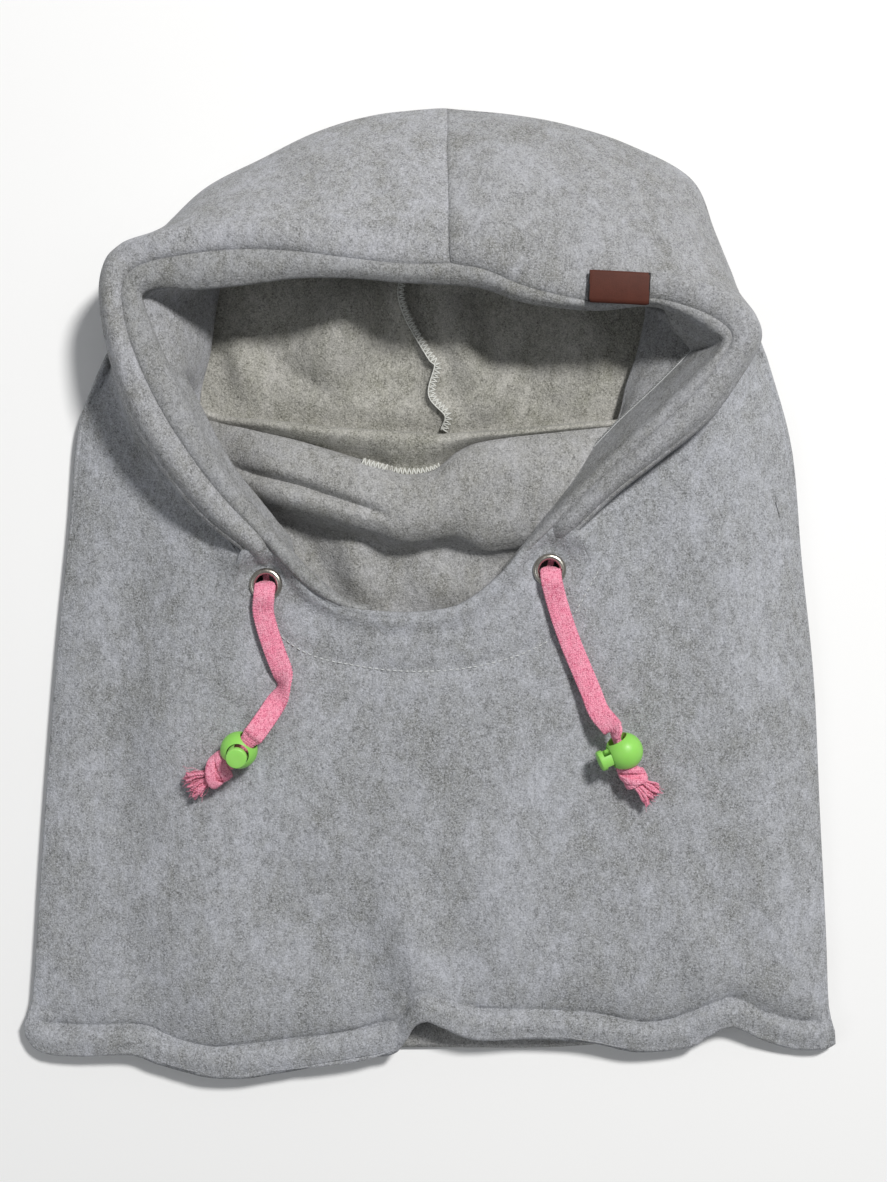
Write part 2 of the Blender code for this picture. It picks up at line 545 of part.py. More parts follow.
def cord_end(tag, centre, route, ball, cord_dir, button_dir, twist, knot, fray):
    """route, ball, knot and fray are points in the panel's frame (x, y, height)."""
    fr_ = panel_frame(centre)
    o, x, y, z = fr_
    c = unit(x * cord_dir[0] + y * cord_dir[1] + z * cord_dir[2])      # along the cord hole, back up the cord
    b = unit(x * button_dir[0] + y * button_dir[1] + z * button_dir[2])
    b = unit(b - c * np.dot(b, c))
    s = np.cross(c, b)
    ball_o = to_world(fr_, ball)
    bore = ball_o + b * CORD_OFFSET
    # tail: out of the eyelet, along the cloth, through the lock, into the knot
    pts = [to_world(fr_, p) for p in route]
    pts += [bore + c * 13, bore + c * 9, bore, bore - c * 9.0]
    n = 29
    line = spline(pts, n)
    st_ = np.linspace(0, len(pts) - 1, n)
    k = len(route)
    widths, across = [], []
    for t, p in zip(st_, line):
        gather = 1 - smoothstep((t - 0.0) / 1.0) if t < 1 else smoothstep((t - (k - 0.6)) / 1.3)
        widths.append((CORD_W + (BORE_W - CORD_W) * gather, CORD_T + (BORE_T - CORD_T) * gather))
        i = min(n - 1, max(0, int(round(t / (len(pts) - 1) * (n - 1)))))
        tang = line[min(i + 1, n - 1)] - line[max(i - 1, 0)]
        flat = unit(np.cross(z, tang) if np.linalg.norm(np.cross(z, tang)) > 0.3 * np.linalg.norm(tang) else x)
        if np.dot(flat, x) < 0:
            flat = -flat
        a = smoothstep((t - (k - 2.2)) / 2.2)
        tgt = s if np.dot(s, flat) >= 0 else -s
        if twist:
            tgt = twist * s
        across.append(flat * (1 - a) + tgt * a)
    sweep("drawcord_%s_tail" % tag, line, widths, across, CORD, sides=8)

    # lock body: ball with a cord hole across a button socket
    lf = (ball_o, s, c, b)
    prof = [(0, -BALL_R)] + [(BALL_R * math.sin(a), -BALL_R * math.cos(a)) for a in np.linspace(0, math.pi, 13)[1:-1]] + [(0, BALL_R)]
    body = lathe_solid("cord_lock_%s_body" % tag, prof, lf, LIME, seg=22)
    bf = (bore, b, s, c)
    cut(body, rod_cutter("bore_cutter_" + tag, bf, BORE_R, -12, 12, 18))
    cut(body, rod_cutter("socket_cutter_" + tag, lf, SOCKET_R, -6.7, 12, 18))
    # button: plunger with a window for the cord
    top, bot = BUTTON_TOP, -1.7
    plunger = lathe_solid("cord_lock_%s_button" % tag,
                          [(0, bot), (BUTTON_R - 0.4, bot), (BUTTON_R, bot + 0.4), (BUTTON_R, top - 0.7),
                           (BUTTON_R - 0.7, top), (0, top)], lf, LIME, seg=18)
    cut(plunger, box_cutter("window_cutter_" + tag, lf, (-4.15, -8, -0.5), (4.15, 8, 8.5)))
    # spring under the button
    coil = []
    turns, r = 3.0, 2.6
    for i in range(28):
        th = 2 * math.pi * turns * i / 27
        h = -6.2 + 4.0 * i / 27
        coil.append(ball_o + c * r * math.cos(th) + s * r * math.sin(th) + b * h)
    sweep("cord_lock_%s_spring" % tag, coil, [(0.55, 0.55)] * 28, [b] * 28, SPRING, sides=4)

    # knot: the flat cord wrapped over itself
    kf = to_world(fr_, knot[:3])
    ka = unit(x * knot[3] + y * knot[4])
    kb = np.cross(z, ka)
    verts, faces = [], []
    nu, nv = 16, 9
    verts.append(kf - ka * knot[5])
    for j in range(1, nv):
        ph = math.pi * j / nv
        for i in range(nu):
            th = 2 * math.pi * i / nu
            wrap = 1 + 0.07 * math.sin(2 * th + 3.0 * ph)
            verts.append(kf - ka * knot[5] * math.cos(ph) + (kb * knot[6] * math.cos(th) + z * knot[7] * math.sin(th))
                         * (math.sin(ph) ** 0.7) * wrap)
    verts.append(kf + ka * knot[5])
    for i in range(nu):
        i2 = (i + 1) % nu
        faces.append((0, 1 + i2, 1 + i))
        for j in range(nv - 2):
            a0, a1 = 1 + j * nu, 1 + (j + 1) * nu
            faces.append((a0 + i, a0 + i2, a1 + i2, a1 + i))
        a0 = 1 + (nv - 2) * nu
        faces.append((a0 + i, a0 + i2, len(verts) - 1))
    add_object("drawcord_%s_knot" % tag, verts, faces, CORD)

    # frayed end: a tuft that spreads
    f0, f1 = to_world(fr_, fray[0]), to_world(fr_, fray[1])
    fl_ = [f0 + (f1 - f0) * t for t in np.linspace(0, 1, 6)]
    fa = np.cross(z, unit(f1 - f0))
    sweep("drawcord_%s_frayed_end" % tag, fl_, [(7, 3.6), (8.5, 3.8), (10.5, 3.6), (12.5, 3.0), (14, 2.4), (14.5, 1.6)],
          [fa] * 6, CORD, sides=12)
    return dict(axis=c, button=b, ball=ball_o, frame=fr_)


left = cord_end(
    "left", EYE_L,
    [(0, 0, -1.3), (-0.2, -1.0, 2.6), (-0.6, -5.5, 4.8), (-1.1, -13, 3.0), (1.0, -22, 2.8), (4.6, -33, 2.8),
     (8.2, -43, 3.0), (8.6, -50, 3.8), (4.0, -58.5, 5.8)],
    (-12.5, -79.2, 9.5), (0.672 * 0.985, 0.741 * 0.985, 0.14), (-0.11, -0.30, 0.95), 0,
    (-23.1, -89.8, 7.0, -0.80, -0.60, 5.4, 8.2, 5.9), [(-28.2, -93.6, 5.6), (-41.0, -99.0, 3.0)])
right = cord_end(
    "right", EYE_R,
    [(0, 0, -1.3), (0.3, -1.0, 2.6), (0.8, -5.5, 4.8), (3.0, -14, 3.0), (6.4, -25, 2.8), (10.8, -37, 2.8),
     (15.4, -48, 3.2), (19.8, -58.5, 4.8), (23.6, -68.0, 7.2)],
    (35.6, -86.7, 9.5), (-0.354 * 0.978, 0.935 * 0.978, 0.21), (-0.91, -0.41, 0.12), 0,
    (41.4, -100.5, 7.0, 0.42, -0.90, 5.4, 8.2, 5.9), [(44.4, -107.2, 5.4), (53.0, -113.2, 3.0)])

# ---------------------------------------------------------------- label on the hood seam
lx, ly = LABEL
ang = math.radians(-3)
ux, uy = np.array([math.cos(ang), math.sin(ang), 0.0]), np.array([-math.sin(ang), math.cos(ang), -0.02])
w, h, t = LABEL_SIZE
sec = []
for k in range(9):      # the fold at the crown end
    a = -math.pi / 2 + math.pi * k / 8
    sec.append((h / 2 - t / 2 + t / 2 * math.cos(a), t / 2 * math.sin(a)))
sec += [(-h / 2, t / 2), (-h / 2, 0.12), (h / 2 - t / 2 - 1.2, 0.12), (h / 2 - t / 2 - 1.2, -0.12),
        (-h / 2, -0.12), (-h / 2, -t / 2)]
verts, faces = [], []
o = np.array([lx, ly, 67.0])
for sx in (-w / 2, w / 2):
    for py, pz in sec:
        verts.append(o + ux * sx + uy * py + np.array([0, 0, pz]))
m = len(sec)
for k in range(m):
    k2 = (k + 1) % m
    faces.append((k2, m + k2, m + k, k))
faces.append(tuple(range(m))[::-1])
faces.append(tuple(range(m, 2 * m)))
add_object("leather_label", verts, faces, LEATHER, smooth=False)

# ---------------------------------------------------------------- hem stitching
hem_line = []
hx = arr(HEM)
for x in np.linspace(-180, 180, 46):
    yh = np.interp(x, hx[:, 0], hx[:, 1])
    zh = np.interp(x, hx[:, 0], hx[:, 2])
    y0 = yh + 13.0
    z0 = zh + (body_front(x, y0) - zh) * 0.5
    hem_line.append((x, y0, z0 + 1.1 + 1.6 + 1.8 * math.exp(-((x + 5) / 14) ** 2)))
sweep("hem_topstitch_thread", hem_line, [(0.6, 0.8)] * 46, [(0, 0, 1)] * 46, THREAD, sides=5)
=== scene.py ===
"""Looks of a fleece hood balaclava with a pink drawcord and lime cord locks, lying on its back.

Design numbers are in millimetres in the garment's plan, and become metres of the row frame.
"""

import math
import bpy
import bmesh
import numpy as np
from mathutils import Matrix, Vector
from mathutils.bvhtree import BVHTree


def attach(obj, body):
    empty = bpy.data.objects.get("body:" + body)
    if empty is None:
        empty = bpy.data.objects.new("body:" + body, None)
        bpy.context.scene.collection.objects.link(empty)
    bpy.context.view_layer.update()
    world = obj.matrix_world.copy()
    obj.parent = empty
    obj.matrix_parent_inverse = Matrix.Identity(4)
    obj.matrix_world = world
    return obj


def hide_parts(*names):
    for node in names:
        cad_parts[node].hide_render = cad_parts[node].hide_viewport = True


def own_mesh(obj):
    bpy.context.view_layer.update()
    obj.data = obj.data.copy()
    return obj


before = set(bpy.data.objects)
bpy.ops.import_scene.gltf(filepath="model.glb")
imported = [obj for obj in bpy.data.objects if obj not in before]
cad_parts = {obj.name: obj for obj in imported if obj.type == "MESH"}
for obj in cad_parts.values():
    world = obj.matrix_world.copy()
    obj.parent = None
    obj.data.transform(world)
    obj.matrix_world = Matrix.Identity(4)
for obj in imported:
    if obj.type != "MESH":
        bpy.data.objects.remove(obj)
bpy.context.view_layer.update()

MM = 0.001
CENTRE = np.array([0.458, 1.411, 0.0])
FLEECE = 2.2
scene = bpy.context.scene

# ------------------------------------------------------------------ camera, light, floor
cam_data = bpy.data.cameras.new("camera")
cam = bpy.data.objects.new("camera", cam_data)
scene.collection.objects.link(cam)
scene.camera = cam
cam_data.sensor_fit = 'AUTO'
cam_data.sensor_width = 36.0
cam_data.lens = 36.0 * 950.0 / 591.0      # the frame is 591 mm tall where the garment lies
cam.location = (0.00629, -0.00066, 0.95)
cam.rotation_euler = (0, 0, 0)
cam_data.clip_start, cam_data.clip_end = 0.01, 20

scene.view_settings.view_transform = 'Standard'

world = bpy.data.worlds.new("studio")
scene.world = world
world.use_nodes = True
world.node_tree.nodes["Background"].inputs[0].default_value = (0.96, 0.98, 1.0, 1)
world.node_tree.nodes["Background"].inputs[1].default_value = 0.228


def area_light(name, loc, target, size, watts, colour=(1, 1, 1)):
    d = bpy.data.lights.new(name, 'AREA')
    d.shape = 'DISK'
    d.size = size
    d.energy = watts
    d.color = colour
    o = bpy.data.objects.new(name, d)
    o.location = loc
    o.rotation_mode = 'QUATERNION'
    o.rotation_quaternion = (Vector(target) - Vector(loc)).to_track_quat('-Z', 'Y')
    scene.collection.objects.link(o)
    return o


area_light("key", (0.80, 1.02, 2.05), (0.0, 0.02, 0.02), 0.36, 51.0, (1.0, 0.99, 0.97))
area_light("fill", (-1.2, -0.5, 1.6), (0.0, 0.0, 0.0), 1.0, 3.0, (0.94, 0.97, 1.0))


# ------------------------------------------------------------------ small maths
def arr(p):
    return np.array(p, dtype=float)


def to_m(p):
    return (arr(p) - CENTRE) * MM


def unit(v):
    v = arr(v)
    return v / np.linalg.norm(v)


def smooth(t):
    t = np.clip(t, 0, 1)
    return t * t * (3 - 2 * t)


def spline(points, n):
    """n points on a Catmull-Rom curve, evenly spaced in station."""
    p = arr(points)
    m = len(p)
    q = np.vstack([2 * p[:1] - p[1:2], p, 2 * p[-1:] - p[-2:-1]])
    t = np.linspace(0, m - 1, n)
    i = np.minimum(t.astype(int), m - 2)
    f = (t - i)[:, None]
    a, b, c, d = q[i], q[i + 1], q[i + 2], q[i + 3]
    return 0.5 * (2 * b + (c - a) * f + (2 * a - 5 * b + 4 * c - d) * f * f + (3 * b - a - 3 * c + d) * f ** 3)


def spline_at(points, t):
    """The same curve at any stations t."""
    p = arr(points)
    m = len(p)
    q = np.vstack([2 * p[:1] - p[1:2], p, 2 * p[-1:] - p[-2:-1]])
    t = np.clip(arr(t), 0, m - 1)
    i = np.minimum(t.astype(int), m - 2)
    f = (t - i)[:, None]
    a, b, c, d = q[i], q[i + 1], q[i + 2], q[i + 3]
    return 0.5 * (2 * b + (c - a) * f + (2 * a - 5 * b + 4 * c - d) * f * f + (3 * b - a - 3 * c + d) * f ** 3)


def even(points, n):
    p = arr(points)
    s = np.concatenate([[0], np.cumsum(np.linalg.norm(np.diff(p, axis=0), axis=1))])
    q = np.linspace(0, s[-1], n)
    return np.stack([np.interp(q, s, p[:, k]) for k in range(p.shape[1])], axis=1)


def even_spline(points, n):
    return even(spline(points, 12 * len(points)), n)


def hash01(i, j, k, seed):
    n = (i * 374761393 + j * 668265263 + k * 1442695041 + seed * 1013904223) & 0xFFFFFFFF
    n = ((n ^ (n >> 13)) * 1274126177) & 0xFFFFFFFF
    return ((n ^ (n >> 16)) & 0xFFFF) / 65535.0


def vnoise(p, size, seed=0):
    """Smooth value noise from -1 to 1 over points p; size is the distance between knots."""
    q = arr(p) / size + 131.7
    i = np.floor(q).astype(np.int64)
    f = q - i
    f = f * f * f * (f * (6 * f - 15) + 10)
    out = 0
    for a in (0, 1):
        for b in (0, 1):
            for c in (0, 1):
                w = (f[..., 0] if a else 1 - f[..., 0]) * (f[..., 1] if b else 1 - f[..., 1]) * (f[..., 2] if c else 1 - f[..., 2])
                out = out + w * hash01(i[..., 0] + a, i[..., 1] + b, i[..., 2] + c, seed)
    return out * 2 - 1


def line_distance(x, y, line):
    """Distance in plan from points to a polyline, and how far along it, 0 to 1."""
    pts = arr(line)[:, :2]
    best = np.full(np.shape(x), 1e9)
    where = np.zeros(np.shape(x))
    n = len(pts) - 1
    for k in range(n):
        a, b = pts[k], pts[k + 1]
        d = b - a
        L2 = max(1e-9, d @ d)
        t = np.clip(((x - a[0]) * d[0] + (y - a[1]) * d[1]) / L2, 0, 1)
        r = np.hypot(x - a[0] - t * d[0], y - a[1] - t * d[1])
        m = r < best
        best = np.where(m, r, best)
        where = np.where(m, (k + t) / n, where)
    return best, where


def ridge(x, y, line, height, width, taper=True):
    """A soft fold along a line: height at its crest, gone at about two widths away."""
    r, s = line_distance(x, y, line)
    e = np.sin(np.pi * np.clip(s, 0.03, 0.97)) ** 0.7 if taper else 1.0
    return height * np.exp(-(r / width) ** 2) * e


# ------------------------------------------------------------------ materials
def new_material(name):
    m = bpy.data.materials.new(name)
    m.use_nodes = True
    nt = m.node_tree
    return m, nt, nt.nodes["Principled BSDF"]


def node(nt, kind, **props):
    n = nt.nodes.new(kind)
    for k, v in props.items():
        setattr(n, k, v)
    return n


def noise_tex(nt, vec, scale, detail=2.0, rough=0.5, distortion=0.0):
    n = node(nt, 'ShaderNodeTexNoise')
    n.inputs['Scale'].default_value = scale
    n.inputs['Detail'].default_value = detail
    n.inputs['Roughness'].default_value = rough
    n.inputs['Distortion'].default_value = distortion
    nt.links.new(vec, n.inputs['Vector'])
    return n.outputs['Fac']


def ramp(nt, fac, stops):
    r = node(nt, 'ShaderNodeValToRGB')
    els = r.color_ramp.elements
    while len(els) < len(stops):
        els.new(0.5)
    for e, (pos, col) in zip(els, stops):
        e.position = pos
        e.color = (*col, 1) if len(col) == 3 else col
    nt.links.new(fac, r.inputs['Fac'])
    return r.outputs['Color']


def maths(nt, op, a, b=None, clamp=False):
    n = node(nt, 'ShaderNodeMath', operation=op, use_clamp=clamp)
    for i, v in enumerate((a, b)):
        if v is None:
            continue
        if isinstance(v, (int, float)):
            n.inputs[i].default_value = v
        else:
            nt.links.new(v, n.inputs[i])
    return n.outputs[0]


def mix(nt, fac, a, b, mode='MIX'):
    n = node(nt, 'ShaderNodeMix', data_type='RGBA', blend_type=mode)
    for sock, v in ((n.inputs[0], fac), (n.inputs[6], a), (n.inputs[7], b)):
        if isinstance(v, (int, float)):
            sock.default_value = v
        elif isinstance(v, tuple):
            sock.default_value = (*v, 1)
        else:
            nt.links.new(v, sock)
    return n.outputs[2]


def bump(nt, height, strength, distance, normal=None):
    b = node(nt, 'ShaderNodeBump')
    b.inputs['Strength'].default_value = strength
    b.inputs['Distance'].default_value = distance
    nt.links.new(height, b.inputs['Height'])
    if normal is not None:
        nt.links.new(normal, b.inputs['Normal'])
    return b.outputs['Normal']


def srgb(r, g, b):
    return tuple(((c / 255 + 0.055) / 1.055) ** 2.4 if c > 10 else c / 255 / 12.92 for c in (r, g, b))


def fleece_material(name, light, mid, dark, seed, specks=1.0, vertical=0.62):
    """Brushed heather fleece: cool light fibre over warmer grey, in clouds, with dark flecks that
    lie thicker where the light fibre is thin, and a short nap."""
    m, nt, p = new_material(name)
    tc = node(nt, 'ShaderNodeTexCoord')
    mp = node(nt, 'ShaderNodeMapping')
    mp.inputs['Location'].default_value = (seed, seed * 0.7, seed * 1.3)
    nt.links.new(tc.outputs['Object'], mp.inputs['Vector'])
    v = mp.outputs['Vector']
    ms = node(nt, 'ShaderNodeMapping')
    ms.inputs['Location'].default_value = (seed, seed * 0.7, seed * 1.3)
    ms.inputs['Scale'].default_value = (1, vertical, 1)
    nt.links.new(tc.outputs['Object'], ms.inputs['Vector'])
    vs = ms.outputs['Vector']
    cloud = noise_tex(nt, vs, 36, 4, 0.6, 0.6)
    patch = noise_tex(nt, vs, 135, 4, 0.65, 0.5)
    c = maths(nt, 'ADD', maths(nt, 'MULTIPLY', cloud, 0.52), maths(nt, 'MULTIPLY', patch, 0.48))
    base = ramp(nt, c, [(0.36, mid), (0.63, light)])
    # tufts of the brushed nap, lighter and darker
    tuft = noise_tex(nt, vs, 400, 4, 0.75, 0.6)
    base = mix(nt, 1.0, base, ramp(nt, tuft, [(0.32, (0.76, 0.76, 0.765)), (0.66, (1.17, 1.17, 1.18))]), 'MULTIPLY')
    # dark flecks, single fibres in a paler ground
    fleck = noise_tex(nt, v, 1250, 2, 0.6, 0.5)
    thin = ramp(nt, c, [(0.36, (1, 1, 1)), (0.66, (0.5, 0.5, 0.5))])
    knot = ramp(nt, tuft, [(0.36, (1, 1, 1)), (0.62, (0.45, 0.45, 0.45))])
    spot = ramp(nt, fleck, [(0.53, (0, 0, 0)), (0.62, (1, 1, 1))])
    amount = maths(nt, 'MULTIPLY', maths(nt, 'MULTIPLY', maths(nt, 'MULTIPLY', spot, thin), knot), 0.70 * specks, True)
    base = mix(nt, amount, base, dark)
    pale = ramp(nt, fleck, [(0.36, (1, 1, 1)), (0.46, (0, 0, 0))])
    base = mix(nt, maths(nt, 'MULTIPLY', pale, 0.55), base, tuple(min(1, x * 1.35) for x in light))
    nt.links.new(base, p.inputs['Base Color'])
    p.inputs['Roughness'].default_value = 0.97
    p.inputs['Specular IOR Level'].default_value = 0.10
    p.inputs['Sheen Weight'].default_value = 0.12
    p.inputs['Sheen Roughness'].default_value = 0.6
    p.inputs['Sheen Tint'].default_value = (0.95, 0.97, 1, 1)
    nap = noise_tex(nt, v, 1000, 3, 0.75)
    lump = noise_tex(nt, vs, 200, 3, 0.6)
    n1 = bump(nt, lump, 0.5, 0.0016)
    n2 = bump(nt, nap, 0.9, 0.0008, n1)
    nt.links.new(n2, p.inputs['Normal'])
    return m


LIGHT = srgb(181, 182, 187)
MID = srgb(150, 150, 147)
DARK = srgb(74, 76, 76)
FL_HOOD_L = fleece_material("fleece_hood_left_mat", LIGHT, MID, DARK, 0.0)
# right hood half: the same fleece as the left, coloured a little darker as painted shade to dim its crown, which faces
# the key light
FL_HOOD_R_PAINTED_SHADE = fleece_material("fleece_hood_right_painted_shade_mat", srgb(173, 174, 178), srgb(142, 142, 139), DARK, 3.1)
FL_IN = fleece_material("fleece_inside_mat", srgb(188, 186, 180), srgb(152, 151, 140), srgb(72, 72, 66), 5.7)
FL_FRONT = fleece_material("fleece_front_mat", srgb(182, 184, 190), srgb(149, 150, 149), DARK, 7.3)
FL_BACK = fleece_material("fleece_back_mat", srgb(182, 182, 183), srgb(149, 148, 142), DARK, 11.9)
FL_FACE = fleece_material("fleece_facing_mat", srgb(168, 169, 172), srgb(140, 140, 136), DARK, 17.2)


def thread_material(name, rgb):
    m, nt, p = new_material(name)
    tc = node(nt, 'ShaderNodeTexCoord')
    f = noise_tex(nt, tc.outputs['Object'], 900, 2, 0.6)
    base = mix(nt, f, tuple(c * 0.75 for c in rgb), tuple(min(1, c * 1.15) for c in rgb))
    nt.links.new(base, p.inputs['Base Color'])
    p.inputs['Roughness'].default_value = 0.65
    w = node(nt, 'ShaderNodeTexWave', wave_type='BANDS', bands_direction='DIAGONAL')
    w.inputs['Scale'].default_value = 900
    nt.links.new(tc.outputs['Object'], w.inputs['Vector'])
    nt.links.new(bump(nt, w.outputs['Fac'], 0.4, 0.0002), p.inputs['Normal'])
    return m


THREAD = thread_material("thread_mat", srgb(206, 208, 208))
THREAD_PALE = thread_material("thread_pale_mat", srgb(226, 227, 222))
THREAD_GREY = thread_material("thread_grey_mat", srgb(176, 178, 182))


def cord_material(name):
    """Knitted cotton tape: small loops, with painted shade in the gaps between them and a painted highlight on the
    middle of each loop.
    """
    m, nt, p = new_material(name)
    tc = node(nt, 'ShaderNodeTexCoord')
    v = tc.outputs['Object']
    f = noise_tex(nt, v, 300, 3, 0.6)
    base = ramp(nt, f, [(0.32, srgb(247, 149, 176)), (0.68, srgb(253, 177, 198))])
    vor = node(nt, 'ShaderNodeTexVoronoi', feature='DISTANCE_TO_EDGE')
    vor.inputs['Scale'].default_value = 1050
    vor.inputs['Randomness'].default_value = 0.75
    nt.links.new(v, vor.inputs['Vector'])
    # painted shade: darker pink along the gaps between the loops
    painted_gap_shade = ramp(nt, vor.outputs['Distance'], [(0.03, (1, 1, 1)), (0.16, (0, 0, 0))])
    g = noise_tex(nt, v, 800, 2, 0.6)
    painted_gap_shade = maths(nt, 'MULTIPLY', painted_gap_shade, ramp(nt, g, [(0.38, (0.1, 0.1, 0.1)), (0.62, (0.85, 0.85, 0.85))]))
    base = mix(nt, painted_gap_shade, base, srgb(176, 52, 88))
    # painted highlight: the middle of each loop is coloured lighter pink
    base = mix(nt, ramp(nt, vor.outputs['Distance'], [(0.30, (0, 0, 0)), (0.48, (0.55, 0.55, 0.55))]), base, srgb(255, 196, 213))
    nt.links.new(base, p.inputs['Base Color'])
    p.inputs['Roughness'].default_value = 0.9
    p.inputs['Specular IOR Level'].default_value = 0.15
    p.inputs['Sheen Weight'].default_value = 0.15
    p.inputs['Sheen Roughness'].default_value = 0.5
    p.inputs['Sheen Tint'].default_value = (1.0, 0.8, 0.86, 1)
    nt.links.new(bump(nt, vor.outputs['Distance'], 0.8, 0.0005), p.inputs['Normal'])
    return m


CORD = cord_material("cord_mat")


def plastic_material(name, rgb, deep):
    m, nt, p = new_material(name)
    tc = node(nt, 'ShaderNodeTexCoord')
    v = tc.outputs['Object']
    f = noise_tex(nt, v, 90, 3, 0.5)
    nt.links.new(mix(nt, f, deep, rgb), p.inputs['Base Color'])
    p.inputs['Specular IOR Level'].default_value = 0.45
    nt.links.new(ramp(nt, noise_tex(nt, v, 700, 3, 0.6), [(0.3, (0.36, 0.36, 0.36)), (0.7, (0.5, 0.5, 0.5))]), p.inputs['Roughness'])
    nt.links.new(bump(nt, noise_tex(nt, v, 1400, 2, 0.5), 0.12, 0.0002), p.inputs['Normal'])
    p.inputs['Subsurface Weight'].default_value = 0.12
    p.inputs['Subsurface Radius'].default_value = (0.4, 1.0, 0.2)
    p.inputs['Subsurface Scale'].default_value = 0.002
    return m


LIME = plastic_material("lock_body_mat", srgb(154, 222, 104), srgb(142, 214, 92))
LIME_B = plastic_material("lock_button_mat", srgb(160, 226, 112), srgb(148, 218, 98))


def metal_material(name, rgb, rough):
    m, nt, p = new_material(name)
    tc = node(nt, 'ShaderNodeTexCoord')
    v = tc.outputs['Object']
    f = noise_tex(nt, v, 240, 4, 0.6)
    nt.links.new(mix(nt, f, tuple(c * 0.8 for c in rgb), rgb), p.inputs['Base Color'])
    p.inputs['Metallic'].default_value = 1.0
    nt.links.new(ramp(nt, noise_tex(nt, v, 520, 4, 0.7), [(0.3, (rough * 0.8,) * 3), (0.75, (rough * 1.5,) * 3)]), p.inputs['Roughness'])
    nt.links.new(bump(nt, noise_tex(nt, v, 800, 2, 0.6), 0.08, 0.0002), p.inputs['Normal'])
    return m


NICKEL = metal_material("nickel_mat", (0.56, 0.53, 0.47), 0.24)
SPRING = metal_material("spring_mat", (0.6, 0.6, 0.6), 0.25)


def leather_material(name, rgb):
    m, nt, p = new_material(name)
    tc = node(nt, 'ShaderNodeTexCoord')
    v = tc.outputs['Object']
    f = noise_tex(nt, v, 160, 4, 0.6)
    base = mix(nt, f, tuple(c * 0.78 for c in rgb), tuple(c * 1.25 for c in rgb))
    vor = node(nt, 'ShaderNodeTexVoronoi', feature='DISTANCE_TO_EDGE')
    vor.inputs['Scale'].default_value = 1500
    nt.links.new(v, vor.inputs['Vector'])
    crack = ramp(nt, vor.outputs['Distance'], [(0.0, (0.62, 0.62, 0.62)), (0.12, (1, 1, 1))])
    nt.links.new(mix(nt, 0.6, base, crack, 'MULTIPLY'), p.inputs['Base Color'])
    p.inputs['Roughness'].default_value = 0.62
    p.inputs['Specular IOR Level'].default_value = 0.25
    n1 = bump(nt, vor.outputs['Distance'], 0.25, 0.0003)
    nt.links.new(bump(nt, f, 0.15, 0.0005, n1), p.inputs['Normal'])
    return m


LEATHER = leather_material("leather_mat", srgb(84, 43, 32))
EDGE_PAINT = leather_material("leather_edge_mat", srgb(30, 24, 24))


def floor_material():
    m, nt, p = new_material("floor_mat")
    tc = node(nt, 'ShaderNodeTexCoord')
    f = noise_tex(nt, tc.outputs['Object'], 3, 2, 0.5)
    nt.links.new(mix(nt, f, (0.93, 0.93, 0.93), (0.96, 0.96, 0.96)), p.inputs['Base Color'])
    p.inputs['Roughness'].default_value = 0.9
    p.inputs['Specular IOR Level'].default_value = 0.1
    return m


fm = bpy.data.meshes.new("floor")
fm.from_pydata([(-3, -3, -0.0003), (3, -3, -0.0003), (3, 3, -0.0003), (-3, 3, -0.0003)], [], [(0, 1, 2, 3)])
floor = bpy.data.objects.new("floor", fm)
scene.collection.objects.link(floor)
fm.materials.append(floor_material())


# ------------------------------------------------------------------ mesh makers
def add_mesh(name, verts, faces, mat, body, nodes=(), smooth_shade=True, angle=50, fix=True):
    me = bpy.data.meshes.new(name)
    me.from_pydata(to_m(verts).tolist(), [], [tuple(int(i) for i in f) for f in faces])
    if fix:
        bm = bmesh.new()
        bm.from_mesh(me)
        bmesh.ops.recalc_face_normals(bm, faces=bm.faces)
        bm.to_mesh(me)
        bm.free()
    me.update()
    ob = bpy.data.objects.new(name, me)
    scene.collection.objects.link(ob)
    for mm in (mat if isinstance(mat, (list, tuple)) else [mat]):
        me.materials.append(mm)
    if smooth_shade:
        me.shade_smooth()
        if angle:
            me.set_sharp_from_angle(angle=math.radians(angle))
    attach(ob, body)
    if nodes:
        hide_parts(*([nodes] if isinstance(nodes, str) else nodes))
    return ob


def shell(grid, t):
    """Closed cloth of thickness t about a grid of middle points, with rounded edges."""
    g = arr(grid)
    R, Cn = g.shape[:2]
    n = np.cross(np.gradient(g, axis=0), np.gradient(g, axis=1))
    n /= np.maximum(1e-9, np.linalg.norm(n, axis=2, keepdims=True))
    for _ in range(2):
        k = n.copy()
        k[1:-1] += 0.5 * (n[2:] + n[:-2])
        k[:, 1:-1] += 0.5 * (n[:, 2:] + n[:, :-2])
        n = k / np.maximum(1e-9, np.linalg.norm(k, axis=2, keepdims=True))
    top, bot = g + n * t / 2, g - n * t / 2
    idx = np.arange(R * Cn).reshape(R, Cn)
    q = np.stack([idx[:-1, :-1], idx[:-1, 1:], idx[1:, 1:], idx[1:, :-1]], axis=-1).reshape(-1, 4)
    loop = list(idx[0, :]) + list(idx[1:, -1]) + list(idx[-1, -2::-1]) + list(idx[-2:0:-1, 0])
    gi = g.reshape(-1, 3)
    out = np.zeros_like(gi)
    cnt = np.zeros(len(gi))
    for e, inn in ((idx[0], idx[1]), (idx[-1], idx[-2]), (idx[:, 0], idx[:, 1]), (idx[:, -1], idx[:, -2])):
        d = gi[e] - gi[inn]
        d /= np.maximum(1e-9, np.linalg.norm(d, axis=1, keepdims=True))
        out[e] += d
        cnt[e] += 1
    loop = np.array(loop)
    rim = gi[loop] + out[loop] / cnt[loop][:, None] * t * 0.42
    N = R * Cn
    verts = np.vstack([top.reshape(-1, 3), bot.reshape(-1, 3), rim])
    faces = list(map(tuple, q)) + [tuple(f[::-1] + N) for f in q]
    m = len(loop)
    for k in range(m):
        k2 = (k + 1) % m
        a, b = loop[k], loop[k2]
        faces.append((a, 2 * N + k, 2 * N + k2, b))
        faces.append((a + N, b + N, 2 * N + k2, 2 * N + k))
    return verts, faces


